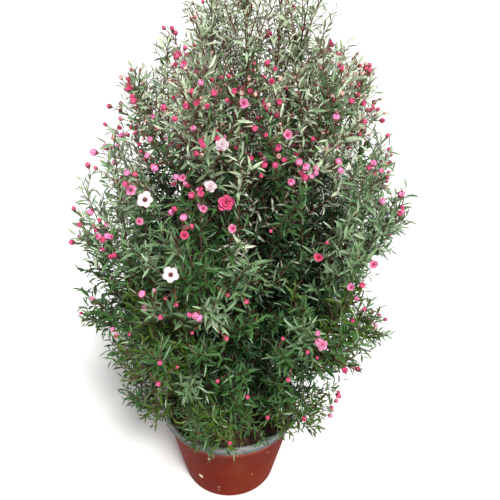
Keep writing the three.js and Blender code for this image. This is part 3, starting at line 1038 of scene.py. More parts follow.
@dataclass
class PottingMix:
    """The fill of the pot: an uneven surface with crumbs of bark on it."""

    pot: Pot
    bottom: float
    below_rim: float = 13 * MM
    rise: float = 2 * MM
    rings: int = 36
    steps: int = 120
    lump: float = 1.4 * MM
    lump_scale: float = 70.0
    lump_fractal: tuple[float, float, int] = (0.8, 2.1, 4)
    lump_fade: int = 6
    crumbs: int = 900
    crumb_size: float = 3.2 * MM
    crumb_range: Pair = (0.3, 1.0)
    crumb_form: Triple = (1.5, 0.9, 0.6)
    crumb_lie: Triple = (1.0, 1.0, 0.4)
    crumb_lump: float = 0.35
    crumb_lump_scale: float = 3.1
    seed: int = 31

    @property
    def edge(self) -> float:
        """The height of the surface at the wall."""
        return self.pot.height - self.below_rim

    def radius(self, height: float) -> float:
        """The radius that fits in the pot at a height."""
        return self.pot.wall_radius(height) - self.pot.wall - SEAT_GAP

    def surface(self, x: float, y: float) -> float:
        """The lumpy surface.

        Args:
            x: the place across the pot.
            y: the place from its front to its back.

        Returns:
            The height there.
        """
        share = min(1.0, math.hypot(x, y) / self.radius(self.edge))
        lumps = noise.fractal(Vector((x, y, 0)) * self.lump_scale, *self.lump_fractal)
        return self.edge + self.rise * (1 - share ** 2) + self.lump * lumps * (1 - share ** self.lump_fade)

    def build(self) -> None:
        """Models the fill and its crumbs, and ties them to their node."""
        rim = self.radius(self.edge)
        top = [(rim * (1 - k / self.rings), self.edge) for k in range(self.rings + 1)]
        bm = spun([(0.0, self.bottom), (self.radius(self.bottom), self.bottom), *top], self.steps)
        for corner in bm.verts:
            if corner.co.z > self.edge - SEAT_GAP:
                corner.co.z = self.surface(corner.co.x, corner.co.y)
        fill = object_from_bmesh("potting_mix_fill", bm)
        finish_piece(fill, "potting_mix", ["potting_mix"], MIX.material())
        crumbs = self.crumb_shape().to_object("potting_mix_crumbs")
        finish_piece(crumbs, "potting_mix", ["potting_mix"], CRUMB.material())

    def crumb_shape(self) -> Shape:
        """Scatters crumbs of bark over the surface.

        Returns:
            All crumbs as one shape.
        """
        bm = bmesh.new()
        bmesh.ops.create_icosphere(bm, subdivisions=1, radius=0.5)
        for corner in bm.verts:
            corner.co *= 1 + self.crumb_lump * noise.noise(corner.co * self.crumb_lump_scale)
        crumb = Shape.from_bmesh(bm)
        rng = np.random.default_rng(self.seed)
        radius = (self.radius(self.edge) - self.crumb_size) * np.sqrt(rng.random(self.crumbs))
        angle = FULL_TURN * rng.random(self.crumbs)
        x, y = radius * np.cos(angle), radius * np.sin(angle)
        z = np.array([self.surface(px, py) for px, py in zip(x, y)])
        along = unit(rng.normal(size=(self.crumbs, 3)) * self.crumb_lie)
        across = unit(np.cross(along, rng.normal(size=(self.crumbs, 3))))
        sizes = self.crumb_size * rng.uniform(*self.crumb_range, (self.crumbs, 1)) * np.array(self.crumb_form)
        return crumb.scattered(np.stack([x, y, z], axis=1), triads(along, across), sizes)


# Limbs


@dataclass(frozen=True)
class Tier:
    """A tier of limbs: how many, where they leave the trunk, where they reach and what they bear."""

    name: str
    count: int
    phase: float
    spread: float
    rise: float
    attach: float
    elbow: float
    pitch: float
    enter: float
    bough_radius: float
    shoot_gap: float
    shoot_length: float
    twig_gap: float
    leaf_size: float
    leaf_gap: float
    lift: float
    tints: dict[Tint, float]


TIERS = (
    Tier("top", count=5, phase=190, spread=38 * MM, rise=416 * MM, attach=84 * MM, elbow=13 * MM, pitch=80,
         enter=0.32, bough_radius=2.3 * MM, shoot_gap=10.5 * MM, shoot_length=66 * MM, twig_gap=12 * MM,
         leaf_size=0.8, leaf_gap=4.2 * MM, lift=0.6,
         tints={Tint.SILVER: 0.52, Tint.PALE: 0.36, Tint.MIST: 0.12}),
    Tier("upper", count=6, phase=2, spread=104 * MM, rise=360 * MM, attach=64 * MM, elbow=16 * MM, pitch=58,
         enter=0.3, bough_radius=2.4 * MM, shoot_gap=7 * MM, shoot_length=92 * MM, twig_gap=9 * MM,
         leaf_size=0.86, leaf_gap=3.7 * MM, lift=0.5,
         tints={Tint.SILVER: 0.44, Tint.MIST: 0.2, Tint.PALE: 0.16, Tint.SAGE: 0.14, Tint.DEEP: 0.06}),
    Tier("middle", count=7, phase=12, spread=146 * MM, rise=252 * MM, attach=42 * MM, elbow=22 * MM, pitch=34,
         enter=0.28, bough_radius=2.3 * MM, shoot_gap=6.5 * MM, shoot_length=84 * MM, twig_gap=7.5 * MM,
         leaf_size=0.94, leaf_gap=3.3 * MM, lift=0.8,
         tints={Tint.SAGE: 0.42, Tint.MIST: 0.3, Tint.DEEP: 0.28}),
    Tier("lower", count=7, phase=38, spread=142 * MM, rise=146 * MM, attach=22 * MM, elbow=24 * MM, pitch=-4,
         enter=0.26, bough_radius=2.1 * MM, shoot_gap=6.5 * MM, shoot_length=66 * MM, twig_gap=6.5 * MM,
         leaf_size=0.94, leaf_gap=3.2 * MM, lift=0.35,
         tints={Tint.FRESH: 0.52, Tint.DEEP: 0.3, Tint.SAGE: 0.18}),
    Tier("basal", count=6, phase=25, spread=94 * MM, rise=44 * MM, attach=9 * MM, elbow=18 * MM, pitch=-8,
         enter=0.0, bough_radius=1.9 * MM, shoot_gap=5.5 * MM, shoot_length=52 * MM, twig_gap=6.5 * MM,
         leaf_size=0.84, leaf_gap=3.2 * MM, lift=0.3,
         tints={Tint.FRESH: 0.74, Tint.DEEP: 0.26}),
)


@dataclass
class Trunk:
    """The short trunk that the limbs leave, with its lean and root flare."""

    foot: float
    length: float = 104 * MM
    foot_radius: float = 7.5 * MM
    tip_radius: float = 3.4 * MM
    flare: float = 3.6 * MM
    flare_length: float = 9 * MM
    lean: float = 7 * MM

    def point(self, share: float) -> np.ndarray:
        """The middle of the trunk a share of the way up."""
        return np.array([self.lean * share ** 2, 0.0, self.foot + self.length * share])

    def radius(self, share: float) -> float:
        """The trunk's radius a share of the way up."""
        flare = self.flare * math.exp(-share * self.length / self.flare_length)
        return lerp(self.foot_radius, self.tip_radius, share) + flare


@dataclass
class Limb:
    """One limb: a bare bough from the trunk, then the leader of a mass of foliage."""

    tier: Tier
    name: str
    control: np.ndarray

    def line(self, start: float, end: float, points: int) -> np.ndarray:
        """A stretch of the limb's curve.

        Args:
            start: where the stretch starts, as a share of the curve.
            end: where it ends.
            points: how many points it has.

        Returns:
            The points, one a row.
        """
        t = np.linspace(start, end, points)[:, None]
        root, elbow, approach, tip = self.control
        return ((1 - t) ** 3 * root + 3 * (1 - t) ** 2 * t * elbow
                + 3 * (1 - t) * t ** 2 * approach + t ** 3 * tip)


@dataclass
class LimbPlan:
    """The seeded rule that sends every limb from the trunk to its tip."""

    trunk: Trunk
    rim: float
    seed: int = 4616
    crown_lean: float = 28 * MM
    crown_rise: float = 470 * MM
    swing: float = 16.0
    spread_stray: float = 0.09
    rise_stray: float = 0.05
    attach_step: float = 2.4 * MM
    approach_share: float = 0.36

    def limb(self, tier: Tier, index: int, random: Seeded) -> Limb:
        """One limb of a tier.

        Args:
            tier: the limb's tier.
            index: its place in the tier.
            random: the row of numbers that all limbs share.

        Returns:
            The limb.
        """
        swing = random.stray(self.swing)
        spread = tier.spread * (1 + random.stray(self.spread_stray))
        rise = tier.rise * (1 + random.stray(self.rise_stray))
        angle = math.radians(tier.phase + 360 * index / tier.count + swing)
        outward = np.array([math.cos(angle), math.sin(angle), 0.0])
        tip = np.array([self.crown_lean * rise / self.crown_rise, 0.0, self.rim + rise]) + spread * outward
        height = tier.attach + self.attach_step * (index // 2 + (index % 2) * tier.count / 2)
        lower_edge = (height - tier.bough_radius) / self.trunk.length
        reach = self.trunk.radius(lower_edge) + SEAT_GAP
        start = self.trunk.point(height / self.trunk.length) + reach * outward
        elbow = start + tier.elbow * outward
        pitch = math.radians(tier.pitch)
        heading = math.cos(pitch) * outward + math.sin(pitch) * UP
        approach = tip - self.approach_share * np.linalg.norm(tip - start) * heading
        return Limb(tier, f"{tier.name}_{index + 1}", np.array([start, elbow, approach, tip]))

    def limbs(self) -> list[Limb]:
        """Every limb, tier by tier."""
        random = Seeded(self.seed)
        return [self.limb(tier, index, random) for tier in TIERS for index in range(tier.count)]


@dataclass
class Wood:
    """The trunk and boughs as one mesh with the bark's relief."""

    trunk: Trunk
    limbs: list[Limb]
    trunk_steps: int = 56
    trunk_sides: int = 40
    bough_steps: int = 26
    bough_sides: int = 16
    enter_radius: float = 2 * MM
    relief: float = 0.07
    ridges: float = 260.0
    ridge_stretch: float = 0.2
    ridge_fractal: tuple[float, float, int] = (0.7, 2.2, 4)
    sunk: float = 1.5 * MM

    def sweep(self, bm: bmesh.types.BMesh, line: np.ndarray, radii: Sequence[float], sides: int) -> None:
        """Extrudes a ring along a line.

        Args:
            bm: the mesh that it is added to.
            line: the points that the ring passes.
            radii: the ring's radius at each of them.
            sides: corners of the ring.
        """
        headings = unit(np.gradient(line, axis=0))
        ring = bmesh.ops.create_circle(bm, cap_ends=True, segments=sides, radius=1.0)["verts"]
        rest = [corner.co.copy() for corner in ring]
        edges = [edge for edge in bm.edges if all(corner in ring for corner in edge.verts)]
        for step, (point, heading, radius) in enumerate(zip(line, headings, radii)):
            if step:
                made = bmesh.ops.extrude_edge_only(bm, edges=edges)["geom"]
                edges = [part for part in made if isinstance(part, bmesh.types.BMEdge)]
                ring = [part for part in made if isinstance(part, bmesh.types.BMVert)]
            turn = Vector(UP).rotation_difference(Vector(heading)).to_matrix()
            for corner, flat in zip(ring, rest):
                spot = Vector(point) + turn @ (flat * radius)
                ridge = Vector((spot.x, spot.y, self.ridge_stretch * spot.z)) * self.ridges
                rough = 1 + self.relief * noise.fractal(ridge, *self.ridge_fractal)
                corner.co = Vector(point) + turn @ (flat * radius * rough)
        bmesh.ops.contextual_create(bm, geom=edges)

    def build(self) -> None:
        """Models trunk and boughs and ties them to their nodes."""
        bm = bmesh.new()
        shares = np.linspace(0.0, 1.0, self.trunk_steps)
        line = np.array([self.trunk.point(share) for share in shares])
        self.sweep(bm, line, [self.trunk.radius(share) for share in shares], self.trunk_sides)
        nodes = ["trunk"]
        for limb in self.limbs:
            if limb.tier.enter > 0:
                nodes.append(f"bough_{limb.name}")
                line = limb.line(0.0, limb.tier.enter, self.bough_steps)
                line[0] -= self.sunk * unit(line[1] - line[0])
                radii = np.linspace(limb.tier.bough_radius, self.enter_radius, self.bough_steps)
                self.sweep(bm, line, list(radii), self.bough_sides)
        bmesh.ops.recalc_face_normals(bm, faces=bm.faces[:])
        finish_piece(object_from_bmesh("trunk_and_boughs", bm), "bark", nodes, BARK.material())


# Crown


@dataclass
class Stem:
    """A leader, shoot or twig: its line, its radius at both ends and what it bears."""

    line: np.ndarray
    radii: Pair
    tint: Tint
    tier: Tier
    first_leaf: float
    reach: float = 1.0

    @property
    def tip(self) -> np.ndarray:
        """The stem's end."""
        return self.line[-1]

    @property
    def length(self) -> float:
        """The stem's length."""
        return float(np.linalg.norm(np.diff(self.line, axis=0), axis=1).sum())

    def at(self, shares: np.ndarray) -> tuple[np.ndarray, np.ndarray]:
        """Places and headings along the stem.

        Args:
            shares: shares of the way along, from 0 to 1.

        Returns:
            Points and unit headings, one a row each.
        """
        steps = len(self.line) - 1
        step = np.minimum((shares * steps).astype(int), steps - 1)
        low, high = self.line[step], self.line[step + 1]
        return low + (high - low) * (shares * steps - step)[:, None], unit(high - low)


@dataclass(frozen=True)
class Envelope:
    """The crown's reach: an egg about its leaning middle, rounder below its widest height than above it."""

    rim: float
    lean: float = 0.06
    radius: float = 164 * MM
    widest: float = 235 * MM
    below: float = 300 * MM
    above: float = 260 * MM
    curve_below: float = 0.5
    curve_above: float = 0.75
    least: float = 1e-3
    inner_share: float = 0.66
    bare_share: float = 0.24
    bare_from: float = 70 * MM
    bare_to: float = 320 * MM

    def share(self, points: np.ndarray) -> np.ndarray:
        """How far out points lie.

        Args:
            points: the points, along the last axis.

        Returns:
            Their distance from the crown's middle, as a share of its reach at their height.
        """
        height = points[..., 2] - self.rim
        upper = height > self.widest
        offset = (height - self.widest) / np.where(upper, self.above, self.below)
        curve = np.where(upper, self.curve_above, self.curve_below)
        reach = self.radius * np.maximum(self.least, 1 - offset ** 2) ** curve
        return np.hypot(points[..., 0] - self.lean * height, points[..., 1]) / reach

    def within(self, points: np.ndarray, share: float) -> np.ndarray:
        """Which points lie in the middle of the crown, out to a share of its reach."""
        above = points[..., 2] - self.rim
        return (self.share(points) < share) & (above > self.bare_from) & (above < self.bare_to)

    def bare(self, points: np.ndarray) -> np.ndarray:
        """Which points lie in the shaded middle, where stems bear little."""
        return self.within(points, self.bare_share)

    def inner(self, points: np.ndarray) -> np.ndarray:
        """Which points lie in the half shade behind the outer leaves."""
        return self.within(points, self.inner_share)


@dataclass
class Space:
    """The space that a mass keeps to: a box and the crown's reach, clear of the pot and the mix."""

    low: np.ndarray
    high: np.ndarray
    pot: Pot
    soil: float
    envelope: Envelope
    clear: float = 2 * MM

    def holds(self, points: np.ndarray, reach: float) -> np.ndarray:
        """Which points lie in the space.

        Args:
            points: the points, one a row.
            reach: how far out they may lie, as a share of the crown's reach.

        Returns:
            A truth value for each.
        """
        radius = np.hypot(points[..., 0], points[..., 1])
        height = points[..., 2]
        inside_wall = self.pot.rim_radius - self.pot.lip_overhang - self.pot.wall
        over = height > self.pot.height + self.clear
        outside = radius > self.pot.rim_radius + self.clear
        within = (radius < inside_wall - 2 * self.clear) & (height > self.soil + self.clear)
        boxed = np.all((points >= self.low) & (points <= self.high), axis=-1)
        return boxed & (over | outside | within) & (self.envelope.share(points) < reach)


@dataclass(frozen=True)
class Branching:
    """How stems of one order leave the stem that bears them, from its foot to its tip."""

    gap: float
    first: float
    tilts: Pair
    lengths: Pair
    radii: Pair
    points: int
    lift: float
    first_leaf: float
    dealt: bool


@dataclass
class Growth:
    """The rule by which leaders bear shoots, shoots bear twigs and all of them bear leaves."""

    limbs: list[Limb]
    pot: Pot
    soil: float
    envelope: Envelope
    seed: int = 633
    proud: float = 5 * MM
    slack: float = 45 * MM
    leader_points: int = 16
    leader_tip_points: int = 4
    leader_extra: float = 22 * MM
    leader_radii: Pair = (1.9 * MM, 0.5 * MM)
    leader_leafy: float = 0.4
    shoot_stretch: float = 1.25
    shoot_tip_share: float = 0.8
    bend: float = 0.12
    along_stray: float = 0.3
    length_stray: float = 0.25
    reach_stray: float = 0.07
    shortest: float = 8 * MM
    trim: float = 0.86
    patches: float = 10.0
    patch_offset: Triple = (5.1, 6.8, 0.8)
    patch_pull: float = 2.0
    climb_pull: float = 2.2
    climb_even: float = 0.75
    flank_middle: float = -18 * MM
    flank_pull: float = 2.8
    flank_even: float = 0.45
    leader_sides: int = 7
    shoot_sides: int = 5
    twig_sides: int = 3
    leaders: list[Stem] = field(default_factory=list)
    shoots: list[Stem] = field(default_factory=list)
    twigs: list[Stem] = field(default_factory=list)

    @property
    def nodes(self) -> list[str]:
        """The nodes of all masses."""
        return [f"foliage_{limb.name}" for limb in self.limbs]

    def shoot_rule(self, tier: Tier) -> Branching:
        """How the leaders of a tier bear shoots.

        Args:
            tier: the tier.

        Returns:
            The rule.
        """
        longest = tier.shoot_length * self.shoot_stretch
        return Branching(gap=tier.shoot_gap, first=0.04, tilts=(54.0, 34.0),
                         lengths=(longest, longest * self.shoot_tip_share), radii=(0.8 * MM, 0.35 * MM),
                         points=7, lift=tier.lift, first_leaf=0.2, dealt=True)

    def twig_rule(self, tier: Tier) -> Branching:
        """How the shoots of a tier bear twigs."""
        return Branching(gap=tier.twig_gap, first=0.12, tilts=(50.0, 40.0), lengths=(27 * MM, 12 * MM),
                         radii=(0.45 * MM, 0.25 * MM), points=4, lift=0.12, first_leaf=0.15, dealt=False)

    def space(self, limb: Limb) -> Space:
        """The space of one limb's mass, round its node's box.

        Args:
            limb: the limb.

        Returns:
            The space.
        """
        low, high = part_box(f"foliage_{limb.name}")
        around = np.array([self.slack, self.slack, self.proud])
        ceiling = np.array([np.inf, np.inf, CAD_BOX[1][2] + self.proud])
        top = np.minimum(np.array(high) + self.slack, ceiling)
        return Space(np.array(low) - around, top, self.pot, self.soil, self.envelope)

    def crown_space(self) -> Space:
        """The space that the whole crown keeps to."""
        low, high = np.array(CAD_BOX[0]) - self.proud, np.array(CAD_BOX[1]) + self.proud
        return Space(low, high, self.pot, self.soil, self.envelope)

    def arched(self, root: np.ndarray, heading: np.ndarray, length: float, points: int) -> np.ndarray:
        """A line that sets out along a heading and bends upwards."""
        share = np.linspace(0.0, 1.0, points)[:, None]
        return root + heading * length * share + UP * self.bend * length * share ** 2

    def fitted(self, space: Space, root: np.ndarray, heading: np.ndarray, length: float, points: int,
               reach: float) -> np.ndarray | None:
        """The longest such line that stays in a space.

        Args:
            space: the space.
            root: where the line starts.
            heading: its first direction.
            length: the length that it would have in the open.
            points: corners of the line.
            reach: how far out it may go, as a share of the crown's reach.

        Returns:
            The line's points, or None if there is no room.
        """
        while length > self.shortest:
            line = self.arched(root, heading, length, points)
            if space.holds(line[1:], reach).all():
                return line
            length *= self.trim
        return None

    def deal(self, tier: Tier, place: np.ndarray, random: Seeded) -> Tint:
        """The tint of a spray, by its tier's shares, its height, its noise patch and painted light at the
        flanks.

        Args:
            tier: the spray's tier.
            place: where the spray leaves its stem.
            random: the mass's row of numbers.

        Returns:
            The tint.
        """
        rise = place[2] - self.pot.height
        flank = abs(place[0] - self.flank_middle - self.envelope.lean * rise) / self.envelope.radius
        patch = self.patch_pull * noise.noise(Vector(place) * self.patches + Vector(self.patch_offset))
        # Painted light and shade: sprays at the crown's left and right flanks take paler tints, those across
        # its middle darker ones.
        patch += self.flank_pull * (flank - self.flank_even)
        climb = self.climb_pull * (rise / tier.rise - self.climb_even)
        shares = {}
        for tint, share in tier.tints.items():
            lightness = tint.value.lightness
            shares[tint] = share * math.exp(lightness * patch + max(0.0, lightness) * climb)
        draw = random.next() * sum(shares.values())
        for tint, share in shares.items():
            draw -= share
            if draw < 0:
                break
        return tint

    def branch(self, parent: Stem, rule: Branching, space: Space, random: Seeded) -> list[Stem]:
        """The stems that one stem bears, on a golden-angle spiral.

        Args:
            parent: the bearing stem.
            rule: how they leave it.
            space: the space that they keep to.
            random: the mass's row of numbers.

        Returns:
            The stems that found room.
        """
        phase = FULL_TURN * random.next()
        count = int(parent.length * (1 - rule.first) / rule.gap)
        steps = [(k + 0.5 + random.stray(self.along_stray)) / count for k in range(count)]
        shares = np.array([lerp(rule.first, 1.0, step) for step in steps])
        roots, axes = parent.at(shares)
        tilts = np.radians(lerp(*rule.tilts, shares))
        lift = rule.lift * shares[:, None] * UP
        headings = unit(leaning(axes, tilts, phase + np.arange(count) * GOLDEN_ANGLE) + lift)
        grown = []
        for share, root, heading in zip(shares, roots, headings):
            length = lerp(*rule.lengths, share) * (1 + random.stray(self.length_stray))
            tint, reach = parent.tint, parent.reach
            if rule.dealt:
                tint = self.deal(parent.tier, root, random)
                reach += random.stray(self.reach_stray)
            elif self.envelope.bare(root):
                continue
            line = self.fitted(space, root, heading, length, rule.points, reach)
            if line is not None:
                # Painted shade: twigs that end in the inner crown take the dark SHADE tint.
                if not rule.dealt and self.envelope.inner(line[-1]):
                    tint = Tint.SHADE
                grown.append(Stem(line, rule.radii, tint, parent.tier, rule.first_leaf, reach))
        return grown

    def grow(self) -> None:
        """Grows every mass."""
        for index, limb in enumerate(self.limbs):
            random = Seeded(self.seed + index)
            space = self.space(limb)
            line = limb.line(limb.tier.enter, 1.0, self.leader_points)
            tip = self.arched(line[-1], unit(line[-1] - line[-2]), self.leader_extra, self.leader_tip_points)
            tint = self.deal(limb.tier, line[-1], random)
            whole = np.concatenate([line, tip[1:]])
            leader = Stem(whole, self.leader_radii, tint, limb.tier, self.leader_leafy)
            shoots = self.branch(leader, self.shoot_rule(limb.tier), space, random)
            self.leaders.append(leader)
            self.shoots.extend(shoots)
            for shoot in shoots:
                self.twigs.extend(self.branch(shoot, self.twig_rule(limb.tier), space, random))
        counts = (len(self.leaders), len(self.shoots), len(self.twigs))
        LOG.info("crown: %d leaders, %d shoots, %d twigs", *counts)

    def dress(self, name: str, shape: Shape, slot: str, material: Material) -> None:
        """Makes a piece of the crown from a shape and ties it to the masses' nodes."""
        finish_piece(shape.to_object(name), slot, self.nodes, material)

    def build(self) -> None:
        """Models leaders, shoots and twigs."""
        material = STEM.material()
        orders = (("leaders", self.leaders, self.leader_sides), ("shoots", self.shoots, self.shoot_sides),
                  ("twigs", self.twigs, self.twig_sides))
        for name, stems, sides in orders:
            lines = np.array([stem.line for stem in stems])
            radii = np.array([stem.radii for stem in stems])
            self.dress(name, tubes(lines, radii, sides), "bark", material)


@dataclass
class Leaves:
    """Narrow pointed leaves up every stem, in pieces by tint."""

    growth: Growth
    length: float = 16.5 * MM
    width_share: float = 0.21
    fewest: int = 3
    tilts: Pair = (72.0, 40.0)
    tilt_stray: float = 10.0
    roll_stray: float = 24.0
    size_range: Pair = (0.7, 1.15)
    tip_shrink: float = 0.3
    outline: tuple[float, ...] = (0.0, 0.74, 1.0, 0.68, 0.0)
    fold: float = 0.16
    arch: float = 0.035
    weld: float = 1e-4
    reach: float = 1.2
    seed: int = 977
    tips: list[np.ndarray] = field(default_factory=list)

    def template(self) -> Shape:
        """One leaf of unit length, folded along its rib and arched.

        Returns:
            The leaf, from its root at the origin along +X.
        """
        bm = bmesh.new()
        rows = len(self.outline) - 1
        bmesh.ops.create_grid(bm, x_segments=rows, y_segments=2, size=0.5)
        for corner in bm.verts:
            along = corner.co.x + 0.5
            across = corner.co.y * self.outline[round(along * rows)]
            corner.co = (along, across, self.fold * abs(across) - self.arch * along ** 2)
        bmesh.ops.remove_doubles(bm, verts=bm.verts[:], dist=self.weld)
        flat = np.array([(0.5 + corner.co.y, corner.co.x) for corner in bm.verts])
        return Shape.from_bmesh(bm, flat)

    def places(self, stem: Stem, rng: np.random.Generator) -> tuple[np.ndarray, np.ndarray, np.ndarray]:
        """Where the leaves of one stem go.

        Args:
            stem: the stem.
            rng: the row of numbers that all leaves share.

        Returns:
            Roots, axes and sizes, one leaf a row.
        """
        count = max(self.fewest, int(stem.length * (1 - stem.first_leaf) / stem.tier.leaf_gap))
        roots, twig = stem.at(np.linspace(stem.first_leaf, 1.0, count))
        climb = np.linspace(0.0, 1.0, count)
        tilt = lerp(*self.tilts, climb) + rng.uniform(-1, 1, count) * self.tilt_stray
        angle = FULL_TURN * rng.random() + np.arange(count) * GOLDEN_ANGLE
        heading = leaning(twig, np.radians(tilt), angle)
        flank = unit(np.cross(twig, heading))
        roll = np.radians(rng.uniform(-1, 1, count) * self.roll_stray)[:, None]
        side = flank * np.cos(roll) + np.cross(heading, flank) * np.sin(roll)
        length = self.length * stem.tier.leaf_size * rng.uniform(*self.size_range, count)
        length *= 1 - self.tip_shrink * climb ** 3
        return roots, triads(heading, side), np.stack([length, length * self.width_share, length], axis=1)

    def build(self) -> None:
        """Models every leaf that has room, in pieces by tint."""
        rng = np.random.default_rng(self.seed)
        template = self.template()
        space = self.growth.crown_space()
        stems = self.growth.leaders + self.growth.shoots + self.growth.twigs
        for tint in Tint:
            batches = [self.places(stem, rng) for stem in stems if stem.tint is tint]
            roots, axes, sizes = (np.concatenate(part) for part in zip(*batches))
            along = axes[:, 0] * sizes[:, :1]
            free = space.holds(roots + 0.5 * along, self.reach) & space.holds(roots + along, self.reach)
            free &= ~space.envelope.bare(roots)
            self.tips.extend([roots[free] + 0.5 * along[free], roots[free] + along[free]])
            leaves = template.scattered(roots[free], axes[free], sizes[free])
            name = tint.value.name.replace("leaf", "leaves")
            self.growth.dress(name, leaves, "foliage", tint.value.material())


# Blossom


class Opening(Enum):
    """How a flower has opened: its width for its petals' length, then each ring's tilt and size."""

    HALF = (1.6, ((30.0, 1.0),))
    FULL = (2.2, ((76.0, 1.0),))
    DOUBLE = (2.2, ((78.0, 1.0), (54.0, 0.86), (30.0, 0.62)))

    @property
    def width(self) -> float:
        """The flower's width for its petals' length."""
        return self.value[0]

    @property
    def rings(self) -> tuple[Pair, ...]:
        """The tilt and size of each ring of petals."""
        return self.value[1]


@dataclass(frozen=True)
class Spot:
    """A conspicuous flower: the pixel where it shows and its width there, in pixels."""

    x: float
    y: float
    width: float
    bloom: Bloom
    opening: Opening


SPOTS = (
    Spot(145, 200, 17, Bloom.WHITE, Opening.FULL),
    Spot(171, 275, 17, Bloom.WHITE, Opening.FULL),
    Spot(226, 203, 18, Bloom.CRIMSON, Opening.DOUBLE),
    Spot(131, 190, 12, Bloom.PINK, Opening.FULL),
    Spot(210, 187, 13, Bloom.WHITE, Opening.DOUBLE),
    Spot(243, 104, 11, Bloom.PINK, Opening.HALF),
    Spot(222, 145, 14, Bloom.WHITE, Opening.DOUBLE),
    Spot(322, 345, 11, Bloom.PINK, Opening.DOUBLE),
    Spot(203, 209, 10, Bloom.PINK, Opening.HALF),
    Spot(183, 178, 9, Bloom.PINK, Opening.HALF),
    Spot(139, 222, 9, Bloom.PINK, Opening.HALF),
    Spot(184, 236, 10, Bloom.CRIMSON, Opening.HALF),
    Spot(233, 229, 10, Bloom.PINK, Opening.HALF),
    Spot(287, 136, 11, Bloom.PINK, Opening.HALF),
    Spot(351, 288, 9, Bloom.PINK, Opening.HALF),
    Spot(318, 258, 10, Bloom.CRIMSON, Opening.HALF),
    Spot(373, 265, 10, Bloom.PINK, Opening.HALF),
)
# Pixels where buds show singly, below the flowering top.
LONE_BUDS = (
    (272, 230), (325, 243), (226, 294), (167, 297), (176, 302), (245, 299), (192, 314), (159, 317),
    (193, 332), (224, 336), (282, 340), (306, 351), (160, 361), (317, 358), (176, 368), (289, 377),
    (219, 380), (157, 382), (247, 397), (268, 416), (304, 418), (228, 442),
)


@dataclass(frozen=True)
class Flower:
    """An open flower: the stem's end that bears it, its seat, its axis, its kind and its petals' length."""

    foot: np.ndarray
    seat: np.ndarray
    axis: np.ndarray
    bloom: Bloom
    opening: Opening
    petal: float


@dataclass(frozen=True)
class BudForm:
    """A bud of unit size on +X: a round body of furled petals, a little drawn in towards its tip."""

    sides: int = 10
    rings: int = 4
    petals: int = 5
    lobe: float = 0.09
    drawn_in: float = 0.2
    stretch: float = 1.02

    def shape(self) -> Shape:
        """Models the bud.

        Returns:
            The bud, with a map that runs round it and up it.
        """
        bm = bmesh.new()
        bmesh.ops.create_uvsphere(bm, u_segments=self.sides, v_segments=self.rings, radius=0.5)
        for corner in bm.verts:
            height = corner.co.z + 0.5
            lobes = self.lobe * math.cos(self.petals * math.atan2(corner.co.y, corner.co.x)) * height
            width = 1 - self.drawn_in * max(0.0, height - 0.5) + lobes
            corner.co = (height * self.stretch, corner.co.x * width, corner.co.y * width)
        flat = np.array([(math.atan2(c.co.z, c.co.y) / FULL_TURN + 0.5, c.co.x) for c in bm.verts])
        return Shape.from_bmesh(bm, flat)


@dataclass(frozen=True)
class CalyxForm:
    """The cup under a bud or flower, of unit bud size on +X, with teeth round its mouth."""

    sides: int = 10
    foot: float = 0.14
    mouth: float = 0.5
    depth: float = 0.5
    teeth: int = 5
    tooth: float = 0.1
    middle: float = 0.12

    def shape(self) -> Shape:
        """Models the cup.

        Returns:
            The cup.
        """
        bm = bmesh.new()
        bmesh.ops.create_cone(bm, cap_ends=True, segments=self.sides, radius1=self.foot, radius2=self.mouth,
                              depth=self.depth)
        for corner in bm.verts:
            angle = math.atan2(corner.co.y, corner.co.x)
            tooth = self.tooth * math.cos(self.teeth * angle) if corner.co.z > 0 else 0.0
            corner.co = (corner.co.z + self.middle + tooth, corner.co.x, corner.co.y)
        return Shape.from_bmesh(bm)


@dataclass(frozen=True)
class PetalForm:
    """A petal of unit length on +X: a narrow claw at the origin, round at the end, cupped and wavy."""

    rows: int = 7
    columns: int = 6
    widest: float = 0.58
    claw: float = 0.1
    half: float = 0.47
    cup: float = 0.2
    droop: float = 0.14
    wave: float = 0.05
    waves_across: float = 6.0
    waves_along: float = 9.0

    def half_width(self, along: float) -> float:
        """Half the petal's width.

        Args:
            along: the share of the way from its claw to its end.

        Returns:
            The half width there.
        """
        if along < self.widest:
            return lerp(self.claw, self.half, math.sin(QUARTER_TURN * along / self.widest))
        return self.half * math.sqrt(max(0.0, 1 - ((along - self.widest) / (1 - self.widest)) ** 2))

    def shape(self) -> Shape:
        """Models the petal.

        Returns:
            The petal, with a map that runs across it and along it.
        """
        bm = bmesh.new()
        bmesh.ops.create_grid(bm, x_segments=self.rows, y_segments=self.columns, size=0.5)
        flat = []
        for corner in bm.verts:
            along, across = math.sin(QUARTER_TURN * (corner.co.x + 0.5)), 2 * corner.co.y
            flat.append((corner.co.y + 0.5, along))
            side = across * self.half_width(along)
            wave = self.wave * math.sin(self.waves_across * across + self.waves_along * along) * along
            corner.co = (along, side, self.cup * side ** 2 - self.droop * along ** 2 + wave)
        return Shape.from_bmesh(bm, np.array(flat))


